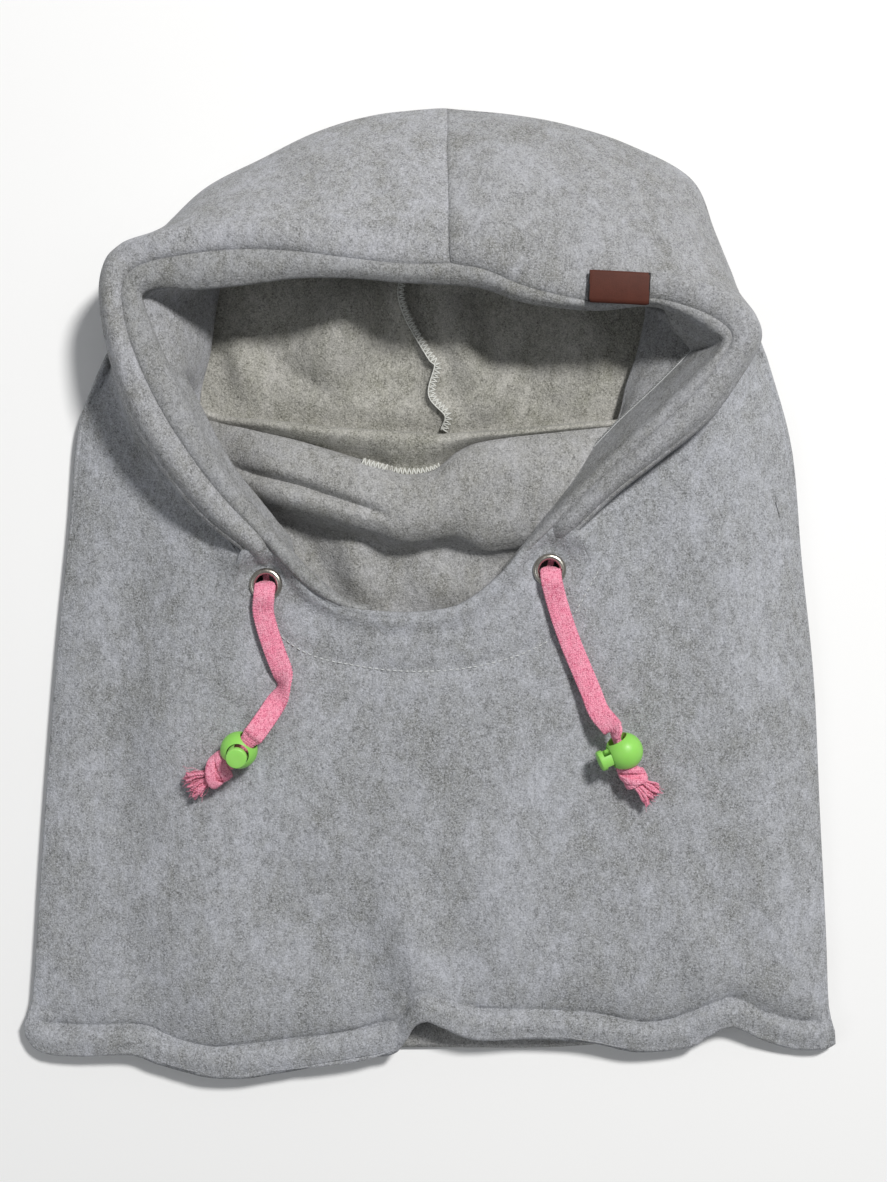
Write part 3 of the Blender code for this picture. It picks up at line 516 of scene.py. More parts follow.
def cloth(name, grids, t, mat, node_name):
    """A cloth piece from one or more grids, as one object; later grids take later materials."""
    vs, fs, n, which = [], [], 0, []
    for k, g in enumerate(grids if isinstance(grids, list) else [grids]):
        v, f = shell(g, t)
        fs += [tuple(i + n for i in face) for face in f]
        which += [k] * len(f)
        vs.append(v)
        n += len(v)
    ob = add_mesh(name, np.vstack(vs), fs, mat, "garment", node_name, angle=None)
    if isinstance(mat, list):
        ob.data.polygons.foreach_set("material_index", np.minimum(which, len(mat) - 1).astype(np.int32))
    return ob


def tube_points(centres, widths, across, sides, power=3.0, lift=None):
    """Rings of a flat oval tube. lift(k, ring angles, ring index) adds height to the surface."""
    c, w, a = arr(centres), arr(widths), arr(across)
    n = len(c)
    t = np.gradient(c, axis=0)
    t /= np.maximum(1e-9, np.linalg.norm(t, axis=1, keepdims=True))
    u = a - t * np.sum(a * t, axis=1, keepdims=True)
    u /= np.maximum(1e-9, np.linalg.norm(u, axis=1, keepdims=True))
    v = np.cross(t, u)
    th = 2 * np.pi * (np.arange(sides) + 0.5) / sides
    cs, sn = np.cos(th), np.sin(th)
    r = (np.abs(cs) ** power + np.abs(sn) ** power) ** (-1 / power)
    x = np.outer(w[:, 0] / 2, cs * r)
    y = np.outer(w[:, 1] / 2, sn * r)
    if lift is not None:
        h = lift(x, y, th)
        nx = np.sign(cs) * np.abs(cs) ** (power - 1) / np.maximum(w[:, :1], 0.1)
        ny = np.sign(sn) * np.abs(sn) ** (power - 1) / np.maximum(w[:, 1:2], 0.1)
        L = np.sqrt(nx ** 2 + ny ** 2)
        x = x + h * nx / L
        y = y + h * ny / L
    return c[:, None, :] + x[..., None] * u[:, None, :] + y[..., None] * v[:, None, :]


def tube_faces(n, sides, base=0):
    f = []
    for i in range(n - 1):
        for k in range(sides):
            k2 = (k + 1) % sides
            f.append((base + i * sides + k, base + i * sides + k2, base + (i + 1) * sides + k2, base + (i + 1) * sides + k))
    f.append(tuple(base + k for k in range(sides))[::-1])
    f.append(tuple(base + (n - 1) * sides + k for k in range(sides)))
    return f


class Soup:
    """Several closed tubes gathered in one object."""

    def __init__(self):
        self.v, self.f, self.n = [], [], 0

    def tube(self, centres, radius, sides=6):
        c = arr(centres)
        w = np.stack([2 * np.broadcast_to(radius, (len(c),))] * 2, axis=1)
        t = np.gradient(c, axis=0)
        side = np.cross(t, (0.0, 0.31, 0.95))
        p = tube_points(c, w, side, sides, power=2.0)
        self.v.append(p.reshape(-1, 3))
        self.f += tube_faces(len(c), sides, self.n)
        self.n += len(c) * sides

    def flat(self, centres, widths, across, sides=12, power=2.6, lift=None):
        p = tube_points(centres, widths, across, sides, power, lift)
        self.v.append(p.reshape(-1, 3))
        self.f += tube_faces(len(p), sides, self.n)
        self.n += p.shape[0] * sides

    def make(self, name, mat, body, nodes=(), slot=None):
        return add_mesh(name, np.vstack(self.v), self.f, mat, body, nodes, angle=None)


def lathe(name, profile, fr, mat, body, nodes=(), seg=64, angle=40):
    """A ring or solid turned about fr's z axis from a profile of (radius, height)."""
    o, x, y, z = fr
    open_ends = profile[0][0] == 0
    pr = arr(profile)
    inner = pr[1:-1] if open_ends else pr
    m = len(inner)
    th = 2 * np.pi * np.arange(seg) / seg
    d = np.outer(np.cos(th), x) + np.outer(np.sin(th), y)
    v = (o + d[:, None, :] * inner[None, :, 0:1] + z * inner[None, :, 1:2]).reshape(-1, 3)
    faces = []
    for i in range(seg):
        i2 = (i + 1) % seg
        for k in range(m - 1 if open_ends else m):
            k2 = (k + 1) % m
            faces.append((i * m + k, i2 * m + k, i2 * m + k2, i * m + k2))
    if open_ends:
        v = np.vstack([v, o + z * pr[0, 1], o + z * pr[-1, 1]])
        for i in range(seg):
            i2 = (i + 1) % seg
            faces.append((len(v) - 2, i2 * m, i * m))
            faces.append((i * m + m - 1, i2 * m + m - 1, len(v) - 1))
    return add_mesh(name, v, faces, mat, body, nodes, angle=angle)


# ------------------------------------------------------------------ design curves
G = [(10, 154, 62), (-14, 154, 62), (-39, 157, 62), (-65, 160, 62), (-89, 161, 61), (-112, 159, 60),
     (-131, 156, 58), (-142, 150, 57), (-145, 138, 57), (-140, 116, 57), (-129, 91, 56), (-113, 65, 53),
     (-97, 44, 48), (-80, 26, 43), (-62, 6, 38), (-44, -6, 35), (-24, -12, 33.5), (-5, -12, 33),
     (15, -8, 33.5), (34, 6, 35), (48, 21, 37), (62, 35, 41), (81, 54, 46), (102, 72, 51), (121, 90, 55),
     (134, 105, 57), (142, 119, 58), (137, 127, 58), (122, 134, 59), (103, 138, 60), (80, 136, 61),
     (61, 139, 62), (43, 144, 62), (26, 151, 62)]
# inner edge of the lip, at the same stations
E = [(10, 146, 61), (-14, 147, 61), (-37, 149, 61), (-62, 149, 61), (-86, 146, 60), (-110, 144, 59),
     (-127, 145, 58), (-136, 142, 57), (-136, 135, 57), (-129, 117, 56), (-116, 91, 55), (-102, 64, 52),
     (-87, 44, 47), (-73, 26, 42), (-56, 8, 38), (-41, -4, 35), (-24, -10, 33.5), (-5, -10, 33),
     (15, -6, 33.5), (33, 7, 34), (46, 22, 37), (59, 37, 40), (77, 56, 45), (98, 76, 50), (116, 93, 54),
     (131, 108, 56), (138, 118, 57), (133, 123, 57), (120, 131, 58), (104, 136, 59), (80, 134, 60),
     (61, 135, 61), (43, 138, 61), (26, 144, 61)]
FOLD_L = [(8, 239, 9), (-25, 236, 9), (-54, 228, 9), (-83, 214, 9), (-110, 200, 9), (-131, 180, 14),
          (-147, 166, 29), (-154, 157, 34), (-156, 141, 42), (-152, 115, 43), (-143, 86, 42),
          (-127, 59, 40), (-108, 36, 38), (-87.3, 19, 36)]
FOLD_R = [(8, 239, 9), (39, 236, 9), (67, 231, 9), (98, 221, 9), (129, 204, 9), (141, 177, 9),
          (152, 149, 14), (157, 132, 24), (157, 119, 36), (147, 102, 42), (132, 82, 42), (110, 64, 40),
          (88.5, 47, 38), (68.8, 28.2, 36)]
SIDE_L = [0, 0, 0, 0, 0, 0.3, 0.85, 1, 1, 1, 1, 1, 1, 1]
SIDE_R = [0, 0, 0, 0, 0, 0.1, 0.4, 0.75, 1, 1, 1, 1, 1, 1]
FOOT_L = [(10, 190, 1.6), (-20, 188, 1.6), (-45, 182, 1.6), (-70, 174, 1.8), (-92, 166, 2.2), (-104, 157, 3),
          (-106, 150, 4), (-107, 143, 6), (-108, 136, 7), (-110, 119, 8), (-115, 95, 8), (-112, 70, 7),
          (-98, 46, 6), (-83, 28, 6)]
FOOT_R = [(10, 190, 1.6), (30, 188, 1.6), (52, 184, 1.6), (75, 176, 1.8), (98, 166, 2.2), (107, 155, 3),
          (108, 145, 4), (108, 138, 6), (106, 128, 8), (103, 116, 9), (98, 102, 10), (94, 86, 12),
          (84, 62, 14), (66, 46, 16)]
NECK = [(-150, 112, 31), (-141, 84, 30), (-126, 58, 28), (-106.5, 37.5, 26), (-90.5, 15.8, 34), (-77.5, 22.5, 38.5),
        (-57, 8.5, 35), (-41, -4, 34), (-24, -10, 33.5), (-5, -10, 33), (15, -6, 33.5), (33, 7, 34),
        (46, 21.5, 35), (58.5, 29.5, 36.5), (71.5, 25.5, 34), (87, 48.5, 26), (108.5, 65, 28),
        (130, 80, 30), (145, 100, 30), (155, 116, 24)]
SIL_L = [(-158, 116, 16), (-165, 102, 12), (-173, 80, 9), (-177, 36, 8), (-183, -24, 8), (-187, -73, 8),
         (-191, -128, 8), (-194, -177, 8), (-196, -205, 8), (-197, -219, 8)]
HEM = [(-197, -219, 8), (-195, -224.5, 8.6), (-188, -227.5, 10), (-173, -228, 12), (-147, -227, 14), (-132, -232, 15),
       (-112, -237, 16), (-93, -238, 16), (-77, -236, 16), (-56, -233, 16), (-22, -227, 17),
       (-14, -221, 19), (-8, -211, 23), (-1, -208, 25), (6, -211, 24), (23, -218, 20), (52, -218, 18),
       (80, -221, 17), (101, -225, 16), (127, -223, 15), (136, -218, 15), (149, -213, 15), (165, -220, 12),
       (180, -225, 9), (194, -225.5, 8.4), (200, -223, 8)]
SIL_R = [(200, -223, 8), (199.5, -217, 8), (197, -208, 8), (196, -197, 8), (195, -167, 8), (192, -108, 8), (189, -43, 8), (183, 16, 8),
         (178, 71, 8), (167, 110, 10), (160, 127, 15)]
HEM_BACK = [(-200, -219, 4), (-170, -221, 1.4), (-100, -224, 1.4), (-30, -225, 1.4), (0, -225, 1.4),
            (60, -225, 1.4), (104, -221, 1.4), (130, -214.5, 1.4), (150, -209.5, 1.4), (168, -213, 1.4), (186, -219, 1.8), (199, -220, 4)]
STITCH = [(-95, 23), (-93, 9), (-84, -8), (-70, -23), (-56, -31), (-39, -35), (-17, -38), (5, -38), (27, -35),
          (49, -28), (66, -16), (82, 11), (87, 30)]
HEM_STITCH = [(-191, -213), (-170, -215), (-145, -214), (-127, -221), (-112, -224), (-91, -223), (-42, -217),
              (-22, -212), (-15, -210), (-8, -199), (-1, -196), (6, -199), (26, -205), (52, -206), (83, -208), (102, -212), (117, -211),
              (136, -204), (149, -200), (165, -207), (179, -212), (192, -213)]
CENTRE_SEAM = [(9, 224), (2, 200), (-8, 176), (-13, 157), (-14, 147), (-11, 137), (-5, 126), (1, 116), (4, 112), (1, 98),
               (9, 88), (6, 76)]
BAND_EDGE = [(-125, 94), (-112, 90), (-103, 86), (-48, 79.5), (5.5, 76), (50, 79.4), (86, 83.3), (100, 85), (125, 90)]
NECK_SEAM = [(-125, 88), (-112, 84), (-99, 80.7), (-60, 69.9), (-27, 60), (-13, 54.8), (2.6, 57.2), (15, 66.5), (34, 72.9),
             (86, 79.2), (100, 81), (125, 86)]
EYE_L, EYE_R = (-79.0, 4.0), (58.0, 11.0)
SLOPE = 0.055


def front_plane(y):
    return 31.0 + SLOPE * (y - 4.0)


def side_x(y):
    l, r = arr(SIL_L), arr(SIL_R)
    return np.interp(y, l[::-1, 1], l[::-1, 0]), np.interp(y, r[:, 1], r[:, 0])


def table_curve(t, knots):
    """Smooth curve through (x, value) knots."""
    k = arr(knots)
    xs = np.linspace(k[0, 0], k[-1, 0], 400)
    s = spline(k, 400)
    o = np.argsort(s[:, 0])
    return np.interp(t, s[o, 0], s[o, 1])


# ------------------------------------------------------------------ hood shells
def hood_shell(seam, lip, fold, side, foot, n, seed, reach):
    seam, lip, fold, foot = (spline(p, n) for p in (seam, lip, fold, foot))
    side = np.interp(np.linspace(0, len(side) - 1, n), np.arange(len(side)), side)
    side = smooth(side)
    rows = []
    for g, e_in, f, m, w in zip(seam, lip, fold, side, foot):
        e = f[:2] - g[:2]
        L = np.linalg.norm(e)
        e = e / L
        zg, zf = g[2], f[2]
        crown = [(0.3, zg - 3.4), (0.1, zg - 1.6), (1.3, zg + 0.5), (4.0, zg + 2.0), (8.5, zg + 2.7), (13, zg + 1.6), (0.24 * L, zg + 0.6),
                 (0.35 * L, 0.93 * zg), (0.55 * L, 0.775 * zg), (0.75 * L, 0.56 * zg), (0.9 * L, 0.35 * zg),
                 (0.975 * L, 0.2 * zg), (L, zf - 1), (L - 0.8, 4.4), (L - 5, 2.2)]
        flank = [(0.3, zg - 3.4), (0.1, zg - 1.6), (0.10 * L, zg + 0.7), (0.24 * L, zg + 2.0), (0.42 * L, zg + 2.6), (0.58 * L, zg + 2.1), (0.72 * L, zg + 0.4),
                 (0.84 * L, zg - 2.4), (0.93 * L, 0.7 * zg + 0.3 * zf), (0.985 * L, 0.42 * zg + 0.58 * zf), (L, zf + 2.0),
                 (L - 0.2, zf - 1), (L - 2.0, zf - 5), (L - 5, zf - 7.5), (L - 9, zf - 9.5)]
        row = [(g[0] + e[0] * (dc * (1 - m) + ds * m), g[1] + e[1] * (dc * (1 - m) + ds * m), zc * (1 - m) + zs * m)
               for (dc, zc), (ds, zs) in zip(crown, flank)]
        # inner wall: from under the rim to a crisp foot inside the opening
        q = arr(row[-1])
        inward = np.dot(e_in[:2] - w[:2], e)          # how far the foot lies inside the lip
        k = smooth((inward - 2) / 12)
        F = w[:2] - e_in[:2]
        Fl = max(1e-6, np.linalg.norm(F))
        fdir = F / Fl
        H = e_in[2] - w[2]
        rx, rz = reach
        plain = [q * (1 - s) + w * s for s in (0.2, 0.4, 0.6, 0.78, 0.92)]
        a0 = e_in[:2] + e * 4
        show = [arr([*a0, e_in[2] - rz - 9]), arr([*(e_in[:2] + fdir * (rx - 2)), e_in[2] - rz - 3.5]),
                arr([*(e_in[:2] + fdir * (rx + 0.28 * (Fl - rx))), e_in[2] - rz - 1.5 - 0.20 * (H - rz)]),
                arr([*(e_in[:2] + fdir * (rx + 0.62 * (Fl - rx))), e_in[2] - rz - 0.52 * (H - rz)]),
                arr([*(e_in[:2] + fdir * (rx + 0.88 * (Fl - rx))), e_in[2] - rz - 0.80 * (H - rz)])]
        row += [tuple(p * (1 - k) + s * k) for p, s in zip(plain, show)]
        # crisp turned edge at the foot, then back under itself
        row += [(w[0] - 0.2 * e[0], w[1] - 0.2 * e[1], w[2] + 1.2), (w[0] + 1.2 * e[0], w[1] + 1.2 * e[1], w[2] - 1.6),
                (w[0] + 7 * e[0], w[1] + 7 * e[1], max(1.3, w[2] - 2.8)), (w[0] + 16 * e[0], w[1] + 16 * e[1], 1.3)]
        rows.append(spline(row, 5 * len(row) - 4))
    g = arr(rows)
    # the seam at the crown draws the cloth down between the two halves
    x = g[0, :, 0].copy()
    prof = np.exp(-np.arange(n) / 1.3)[:, None]
    outer = (np.arange(g.shape[1]) < 5 * 12)[None, :]
    g[:, :, 2] -= 1.5 * prof * outer
    g[0, :, 0] += 0.15 * (1 if g[3, 0, 0] > g[0, 0, 0] else -1)
    # slack in the cloth
    w = smooth((np.arange(g.shape[1]) - 8) / 12)[None, :] * outer
    big = vnoise(g, 46, seed) * 1.6 + vnoise(g, 19, seed + 1) * 0.55
    g[:, :, 2] += w * (big - 0.5)
    g[:, :, 2] = np.maximum(g[:, :, 2], 1.35)
    return g


N_HOOD = 170
SEAM_R = [G[0]] + G[:20:-1]
LIP_R = [E[0]] + E[:20:-1]
# each half runs on under the body front and sinks there
hood_l = hood_shell(G[:13] + [(-80, 26, 42.3), (-72, 17, 29.5), (-62, 8, 24)], E[:14] + [(-66, 16, 30), (-58, 8, 25)],
                    FOLD_L + [(-82, 9.5, 24), (-72, 0, 22)], SIDE_L + [1, 1], FOOT_L + [(-78, 20, 6), (-70, 12, 6)],
                    N_HOOD + 24, 3, (1.2, 7.0))
hood_r = hood_shell(SEAM_R[:-1] + [(62, 35, 40.4), (54, 27, 28.5), (48, 20, 23.5)], LIP_R + [(50, 27, 29), (45, 20, 24)],
                    FOLD_R + [(62, 21, 24), (55, 14, 22)], SIDE_R + [1, 1], FOOT_R + [(58, 38, 14), (52, 30, 12)],
                    N_HOOD + 24, 5, (8.0, 26.0))
# shallow dents and folds of the crown
for g, s in ((hood_l, -1), (hood_r, 1)):
    X, Y = g[:, :, 0], g[:, :, 1]
    top = (np.arange(g.shape[1]) < 60)[None, :]
    d = ridge(X, Y, [(118, 200), (132, 178), (140, 160)], -2.2, 5) + ridge(X, Y, [(126, 199), (139, 176), (146, 160)], 1.4, 4)
    d += ridge(X, Y, [(-60, 205), (-95, 190), (-118, 172)], -1.6, 9) + ridge(X, Y, [(40, 165), (70, 160), (100, 158)], -1.3, 8)
    d += ridge(X, Y, [(-20, 225), (-26, 200), (-22, 176)], -1.2, 9) + ridge(X, Y, [(30, 228), (36, 205), (30, 180)], 1.2, 10)
    g[:, :, 2] += d * top * smooth((g[:, :, 2] - 8) / 10)


def floor_relief(x, y):
    """Soft folds of the hood's back, seen through the face opening."""
    z = ridge(x, y, [(-26, 164), (-42, 134), (-62, 104)], 18.0, 17)
    z = z + ridge(x, y, [(14, 150), (17, 122), (24, 98)], 10.0, 10)
    z = z + ridge(x, y, [(48, 118), (36, 102), (22, 84)], 6.5, 7)
    z = z + ridge(x, y, [(84, 150), (74, 118), (62, 92)], 8.0, 13)
    z = z - ridge(x, y, [(-20, 150), (-24, 126), (-20, 96)], 2.5, 8)
    z = z + ridge(x, y, [(-104, 130), (-96, 112), (-88, 100)], 3.0, 7)
    z = z + ridge(x, y, [(-58, 96), (-20, 90), (14, 88)], 2.5, 6)
    z = z + ridge(x, y, CENTRE_SEAM, 4.0, 4.5, taper=False)
    z = z + ridge(x, y, [(-100, 130), (-92, 112), (-80, 96)], 3.0, 9)
    return z + 1.2 * (vnoise(np.stack([x, y, 0 * x], -1), 17, 21) + 1)


def side_share(x):
    return 0.30 + 0.70 * (1 - smooth((np.abs(x) - 62) / 50))


def hood_floor(side, n, seed):
    """Back of the hood from the crown to the neck seam, with the fold that lies over it."""
    cs = arr(CENTRE_SEAM)
    rows = []
    xo = -124.0 if side < 0 else 121.0
    outer_edge = arr([p for p in (FOLD_L if side < 0 else FOLD_R)[:6]])
    outer_edge = outer_edge[np.argsort(outer_edge[:, 0])]
    for q in np.linspace(0, 1, n):
        # a column from crown to neck; q runs from the centre seam to the side
        xs0 = 7.0 + (xo - 7.0) * q
        ye = float(np.interp(xs0, arr(BAND_EDGE)[:, 0], table_curve(arr(BAND_EDGE)[:, 0], BAND_EDGE)))
        yn = float(table_curve(xs0, NECK_SEAM))
        A = float(side_share(xs0))
        top_y = min(222 - 34 * q ** 2, float(np.interp(xs0, outer_edge[:, 0], outer_edge[:, 1])) - 16)
        col = [(y, 1.4, 1) for y in np.linspace(top_y, ye + 2.0, 46)]
        col += [(ye - 2.5, 2.0 * A + 1.5, 0.5), (ye - 7, 3.0 * A + 1.4, 0.2), (ye - 9.8, 5.6 * A + 1.2, 0), (ye - 9.4, 10 * A + 1.2, 0),
                (ye - 5.5, 15 * A + 1, 0), (ye - 1.6, 18.5 * A + 1, 0), (ye + 0.3, 21.3 * A + 1, 0), (ye - 0.5, 23.6 * A + 1, 0),
                (ye * 0.84 + yn * 0.16, 24.2 * A + 1, 0), (ye * 0.62 + yn * 0.38, 21 * A + 1, 0), (ye * 0.36 + yn * 0.64, 15.5 * A + 1, 0),
                (yn + 0.6, 10.6 * A + 1, 0), (yn - 2.4, 8.0 * A + 1, 0)]
        c = arr(col)
        c = np.vstack([c[:45], spline(c[45:], 3 * (len(c) - 45))])
        out = []
        for y, z, w in c:
            # the centre seam wanders, and the columns beside it follow
            sx = np.interp(y, cs[::-1, 1], cs[::-1, 0])
            x = sx + (xo - sx) * q
            x += side * 0.15 * (q == 0)
            out.append((x, y, z, w))
        rows.append(out)
    g = arr(rows)
    X, Y, Wt = g[..., 0], g[..., 1], g[..., 3]
    rel = floor_relief(X, Y)
    fade = smooth((Y - table_curve(np.clip(X, -124, 124), BAND_EDGE) + 2) / 16)
    edge = 1 - smooth((np.abs(X) - 92) / 16)
    Z = g[..., 2] + rel * Wt * np.maximum(fade, 0.12) * edge
    # the seam draws in
    Z -= 1.0 * np.exp(-np.abs(X - np.interp(Y, cs[::-1, 1], cs[::-1, 0])) / 1.2) * Wt
    Z += (1 - Wt) * vnoise(g[..., :3], 14, seed) * 0.8
    return np.stack([X, Y, np.maximum(Z, 1.25)], axis=-1)


floor_l = hood_floor(-1, 76, 31)
floor_r = hood_floor(1, 74, 33)
hood_left = cloth("hood_left_fabric", [hood_l, floor_l], FLEECE, [FL_HOOD_L, FL_IN], "hood_left_panel")
hood_right = cloth("hood_right_fabric", [hood_r, floor_r], FLEECE, [FL_HOOD_R_PAINTED_SHADE, FL_IN], "hood_right_panel")


# ------------------------------------------------------------------ facing bands
def facing(seam, lip, fold, n, drop, seed, thin=None):
    seam, lip = spline(seam, n), spline(lip, n)
    fold = spline(fold, n)
    drop = np.interp(np.linspace(0, len(drop) - 1, n), np.arange(len(drop)), drop)
    rows = []
    for i in range(n):
        g, l, f = seam[i], lip[i], fold[i]
        e = unit(f[:2] - g[:2])
        d = g[:2] - l[:2]
        W = max(1.5, np.linalg.norm(d))
        d = d / max(1e-6, np.linalg.norm(d))
        zg, zl = g[2], l[2]
        k = drop[i]
        puff = 1.3 + 0.05 * W
        row = [(*(g[:2] - d * -0.5), zg - 3.8), (*(g[:2] - d * 0.2), zg - 1.6), (*(g[:2] - d * 0.14 * W), zg - 0.1 + 0.3 * puff),
               (*(g[:2] - d * 0.42 * W), zg * 0.58 + zl * 0.42 + puff * 0.75), (*(g[:2] - d * 0.72 * W), zg * 0.28 + zl * 0.72 + puff * 0.45),
               (*(g[:2] - d * 0.94 * W), zl - 0.9), (*(l[:2] - d * 0.5), zl - 3.2)]
        steep = [(0.3, -6.5), (-0.6, -10.5), (-3.0, -14.5), (-5.0, -18.0)]
        slope = [(-2.6, -8.0), (-5.2, -14.5), (-7.4, -20.5), (-9.4, -26.0)]
        back = [(1.5, -8.0), (5.5, -11.0), (11, -12.5), (17, -13.5)]
        for (sa, za), (sb, zb), (sc, zc) in zip(steep, slope, back):
            if k >= 0:
                a, z = sa * (1 - k) + sb * k, za * (1 - k) + zb * k
            else:
                a, z = sa * (1 + k) - sc * k, za * (1 + k) - zc * k
            row.append((*(l[:2] + d * a), zl + z))
        rows.append(spline(row, 4 * len(row) - 3))
    g = arr(rows)
    w = smooth(np.arange(g.shape[1]) / 8)[None, :]
    g[:, :, 2] += w * (vnoise(g, 22, seed) * 0.7 - 0.3)
    g[:, :, 0] += w * vnoise(g, 15, seed + 1) * 0.25
    return g


DROP_L = [-1, -1, -1, -1, -1, -0.8, -0.4, 0, 0, 0, 0, 0, 0, 0, -0.6, -1, -1]
DROP_R = [-1, -1, -1, -1, -1, -0.7, 0.1, 0.8, 1, 1, 1, 1, 0.7, 0.3]
FL_FOLD = FOLD_L + [(-70, -2, 34), (-50, -18, 33), (-26, -26, 32)]
G_L = G[:15] + [(-45, -5.2, 34.2), (-30, -9.2, 30.5)]
E_L = E[:15] + [(-42, -3.6, 34.2), (-29, -7.6, 30.5)]
face_l = facing(G_L, E_L, FL_FOLD, 190, DROP_L, 41)
face_r = facing(SEAM_R + [(49, 22, 35), (37, 9.5, 30)], LIP_R + [(47, 23.2, 35), (36, 10.4, 30)], FOLD_R + [(56, 12, 33), (44, -4, 32)], 196, DROP_R + [-0.4, -1.0], 43)
facing_left = cloth("facing_left_fabric", face_l, 1.9, FL_FACE, "face_facing_left")
facing_right = cloth("facing_right_fabric", face_r, 1.9, FL_FACE, "face_facing_right")


# ------------------------------------------------------------------ body front
def base_front(x, y):
    xl, xr = side_x(y)
    g = np.sin(0.5 * np.pi * np.clip(np.minimum((x - xl) / 100, (xr - x) / 44), 0, 1)) ** 0.88
    return 8 + (front_plane(y) - 8) * g


N_SIDE, N_HEM = 58, 210
edge_line = np.vstack([even_spline(SIL_L, N_SIDE), even_spline(HEM, N_HEM)[1:-1], even_spline(SIL_R, N_SIDE)])
NECK_EDGE = [(-90.2, 18.6, 37.6), (-87.6, 23.2, 40.6), (-82.5, 28, 41.5), (-63, 7.0, 37.2), (-47, -4.2, 34.8), (-35, -8.6, 34), (-24, -10.4, 33.4),
             (-5, -10.6, 33), (15, -6.8, 33.3), (33.4, 6.6, 34), (46.4, 21.8, 35.8), (55.5, 32.5, 37.6), (63.5, 38, 40), (68.4, 33.6, 39.6),
             (70.9, 29.8, 37.6)]
NECK_SL = [(-150, 112, 33), (-141, 84, 33.5), (-126, 58, 32.5), (-104.5, 37.4, 32.5), (-90.2, 18.6, 37.6)]
NECK_SR = [(70.9, 29.8, 37.6), (85.6, 48, 33), (108.5, 65, 32), (130, 80, 33), (145, 100, 33), (155, 116, 26)]
neck_line = np.vstack([spline(NECK_SL, N_SIDE), even_spline(NECK_EDGE, N_HEM)[1:-1], spline(NECK_SR, N_SIDE)])
n_col = len(edge_line)
is_side = np.zeros(n_col)
is_side[:N_SIDE] = 1
is_side[-N_SIDE:] = 1
jj = np.arange(n_col)
side_mix = np.maximum(smooth((N_SIDE + 5 - jj) / 10), smooth((jj - (n_col - N_SIDE - 6)) / 10))
lip_part = smooth((np.arange(n_col) - N_SIDE - 12) / 16) * smooth((n_col - 1 - np.arange(n_col) - N_SIDE - 12) / 16)
rows = []
for j in range(n_col):
    k, s = neck_line[j], edge_line[j]
    L = np.linalg.norm(s[:2] - k[:2])
    e = (s[:2] - k[:2]) / L
    f = min(1.0, L / 60)
    near = [0.0, 0.9, 2.2, 4, 6.2, 9, 12, 16, 20, 25]
    rest = np.linspace(25, L / f - 20 / f, 56)[1:] if L > 80 else np.linspace(26.4, 58, 55)
    far = [L - 18, L - 16.2, L - 14.8, L - 13.6, L - 12.4, L - 11.2, L - 9.4, L - 7.4, L - 5, L - 3, L - 1.5, L - 0.5, L]
    ds = [d * f for d in near] + [min(r * f, L - 20) if L > 80 else r * f * 0.96 for r in rest]
    ds += far if L > 80 else [ds[-1] + (L - ds[-1]) * q for q in (0.14, 0.28, 0.42, 0.54, 0.64, 0.72, 0.79, 0.85, 0.9, 0.94, 0.97, 0.985, 1)]
    ds = arr(ds)
    x, y = k[0] + e[0] * ds, k[1] + e[1] * ds
    z = base_front(x, y)
    # the surface climbs to the ends of the hood's rolled rim
    for line, up, reach in (([(-87, 20), (-79, 20)], 10.5, 12.0), ([(62, 33), (70, 29)], 7.5, 9.5)):
        r, _ = line_distance(x, y, line)
        z = z + up * np.exp(-(r / reach) ** 2)
    tuck = smooth(ds / 9)
    z = k[2] + (z - k[2]) * tuck
    hem_w = 1 - side_mix[j]
    fall = 34 * hem_w + 3.5 * side_mix[j]
    z = z + (s[2] - z) * (1 - smooth((L - ds) / fall))
    row = np.stack([x, y, z], axis=1)
    p = lip_part[j]
    # the neck edge rolls over its facing
    curl = arr([(k[0] + e[0] * (1.8), k[1] + e[1] * 1.8, k[2] - 5.4 * p - 0.6), (k[0] + e[0] * 0.1, k[1] + e[1] * 0.1, k[2] - 3.9 * p - 0.3),
                (k[0] - e[0] * 0.5 * p, k[1] - e[1] * 0.5 * p, k[2] - 2.0 * p - 0.1)])
    row[0, 2] -= 0.45 * p
    row[2:5, 2] += arr([0.7, 0.9, 0.6]) * p
    # the hem is turned under; the sides run down to the side seam
    a = arr([s[0], s[1], s[2]])
    h, sd = hem_w, side_mix[j]
    under_h = [(0.5, -1.5), (-0.4, -3.1), (-4, -3.9), (-9, -4.0), (-13.5, -3.9)]
    down = a[2] - 3.3
    under_s = [(0.9, -0.18 * down), (1.0, -0.40 * down), (0.6, -0.62 * down), (-0.3, -0.84 * down), (-1.8, -down)]
    under = [(a[0] + e[0] * (u * h + v * sd), a[1] + e[1] * (u * h + v * sd), max(2.8, a[2] + (zu * h + zv * sd)))
             for (u, zu), (v, zv) in zip(under_h, under_s)]
    rows.append(np.vstack([curl, row, arr(under)]))
front = arr(rows)
X, Y = front[..., 0], front[..., 1]
body_w = np.ones(front.shape[1])
body_w[:4] = 0
body_w[-5:] = 0
body_w = body_w[None, :] * np.ones(front.shape[:2])
r_neck, _ = line_distance(X, Y, even_spline(NECK[5:14], 60))
r_st, s_st = line_distance(X, Y, even_spline(STITCH, 80))
r_hem, _ = line_distance(X, Y, even_spline(HEM_STITCH, 120))
r_edge, _ = line_distance(X, Y, even_spline(HEM, 120))
rel = np.zeros_like(X)
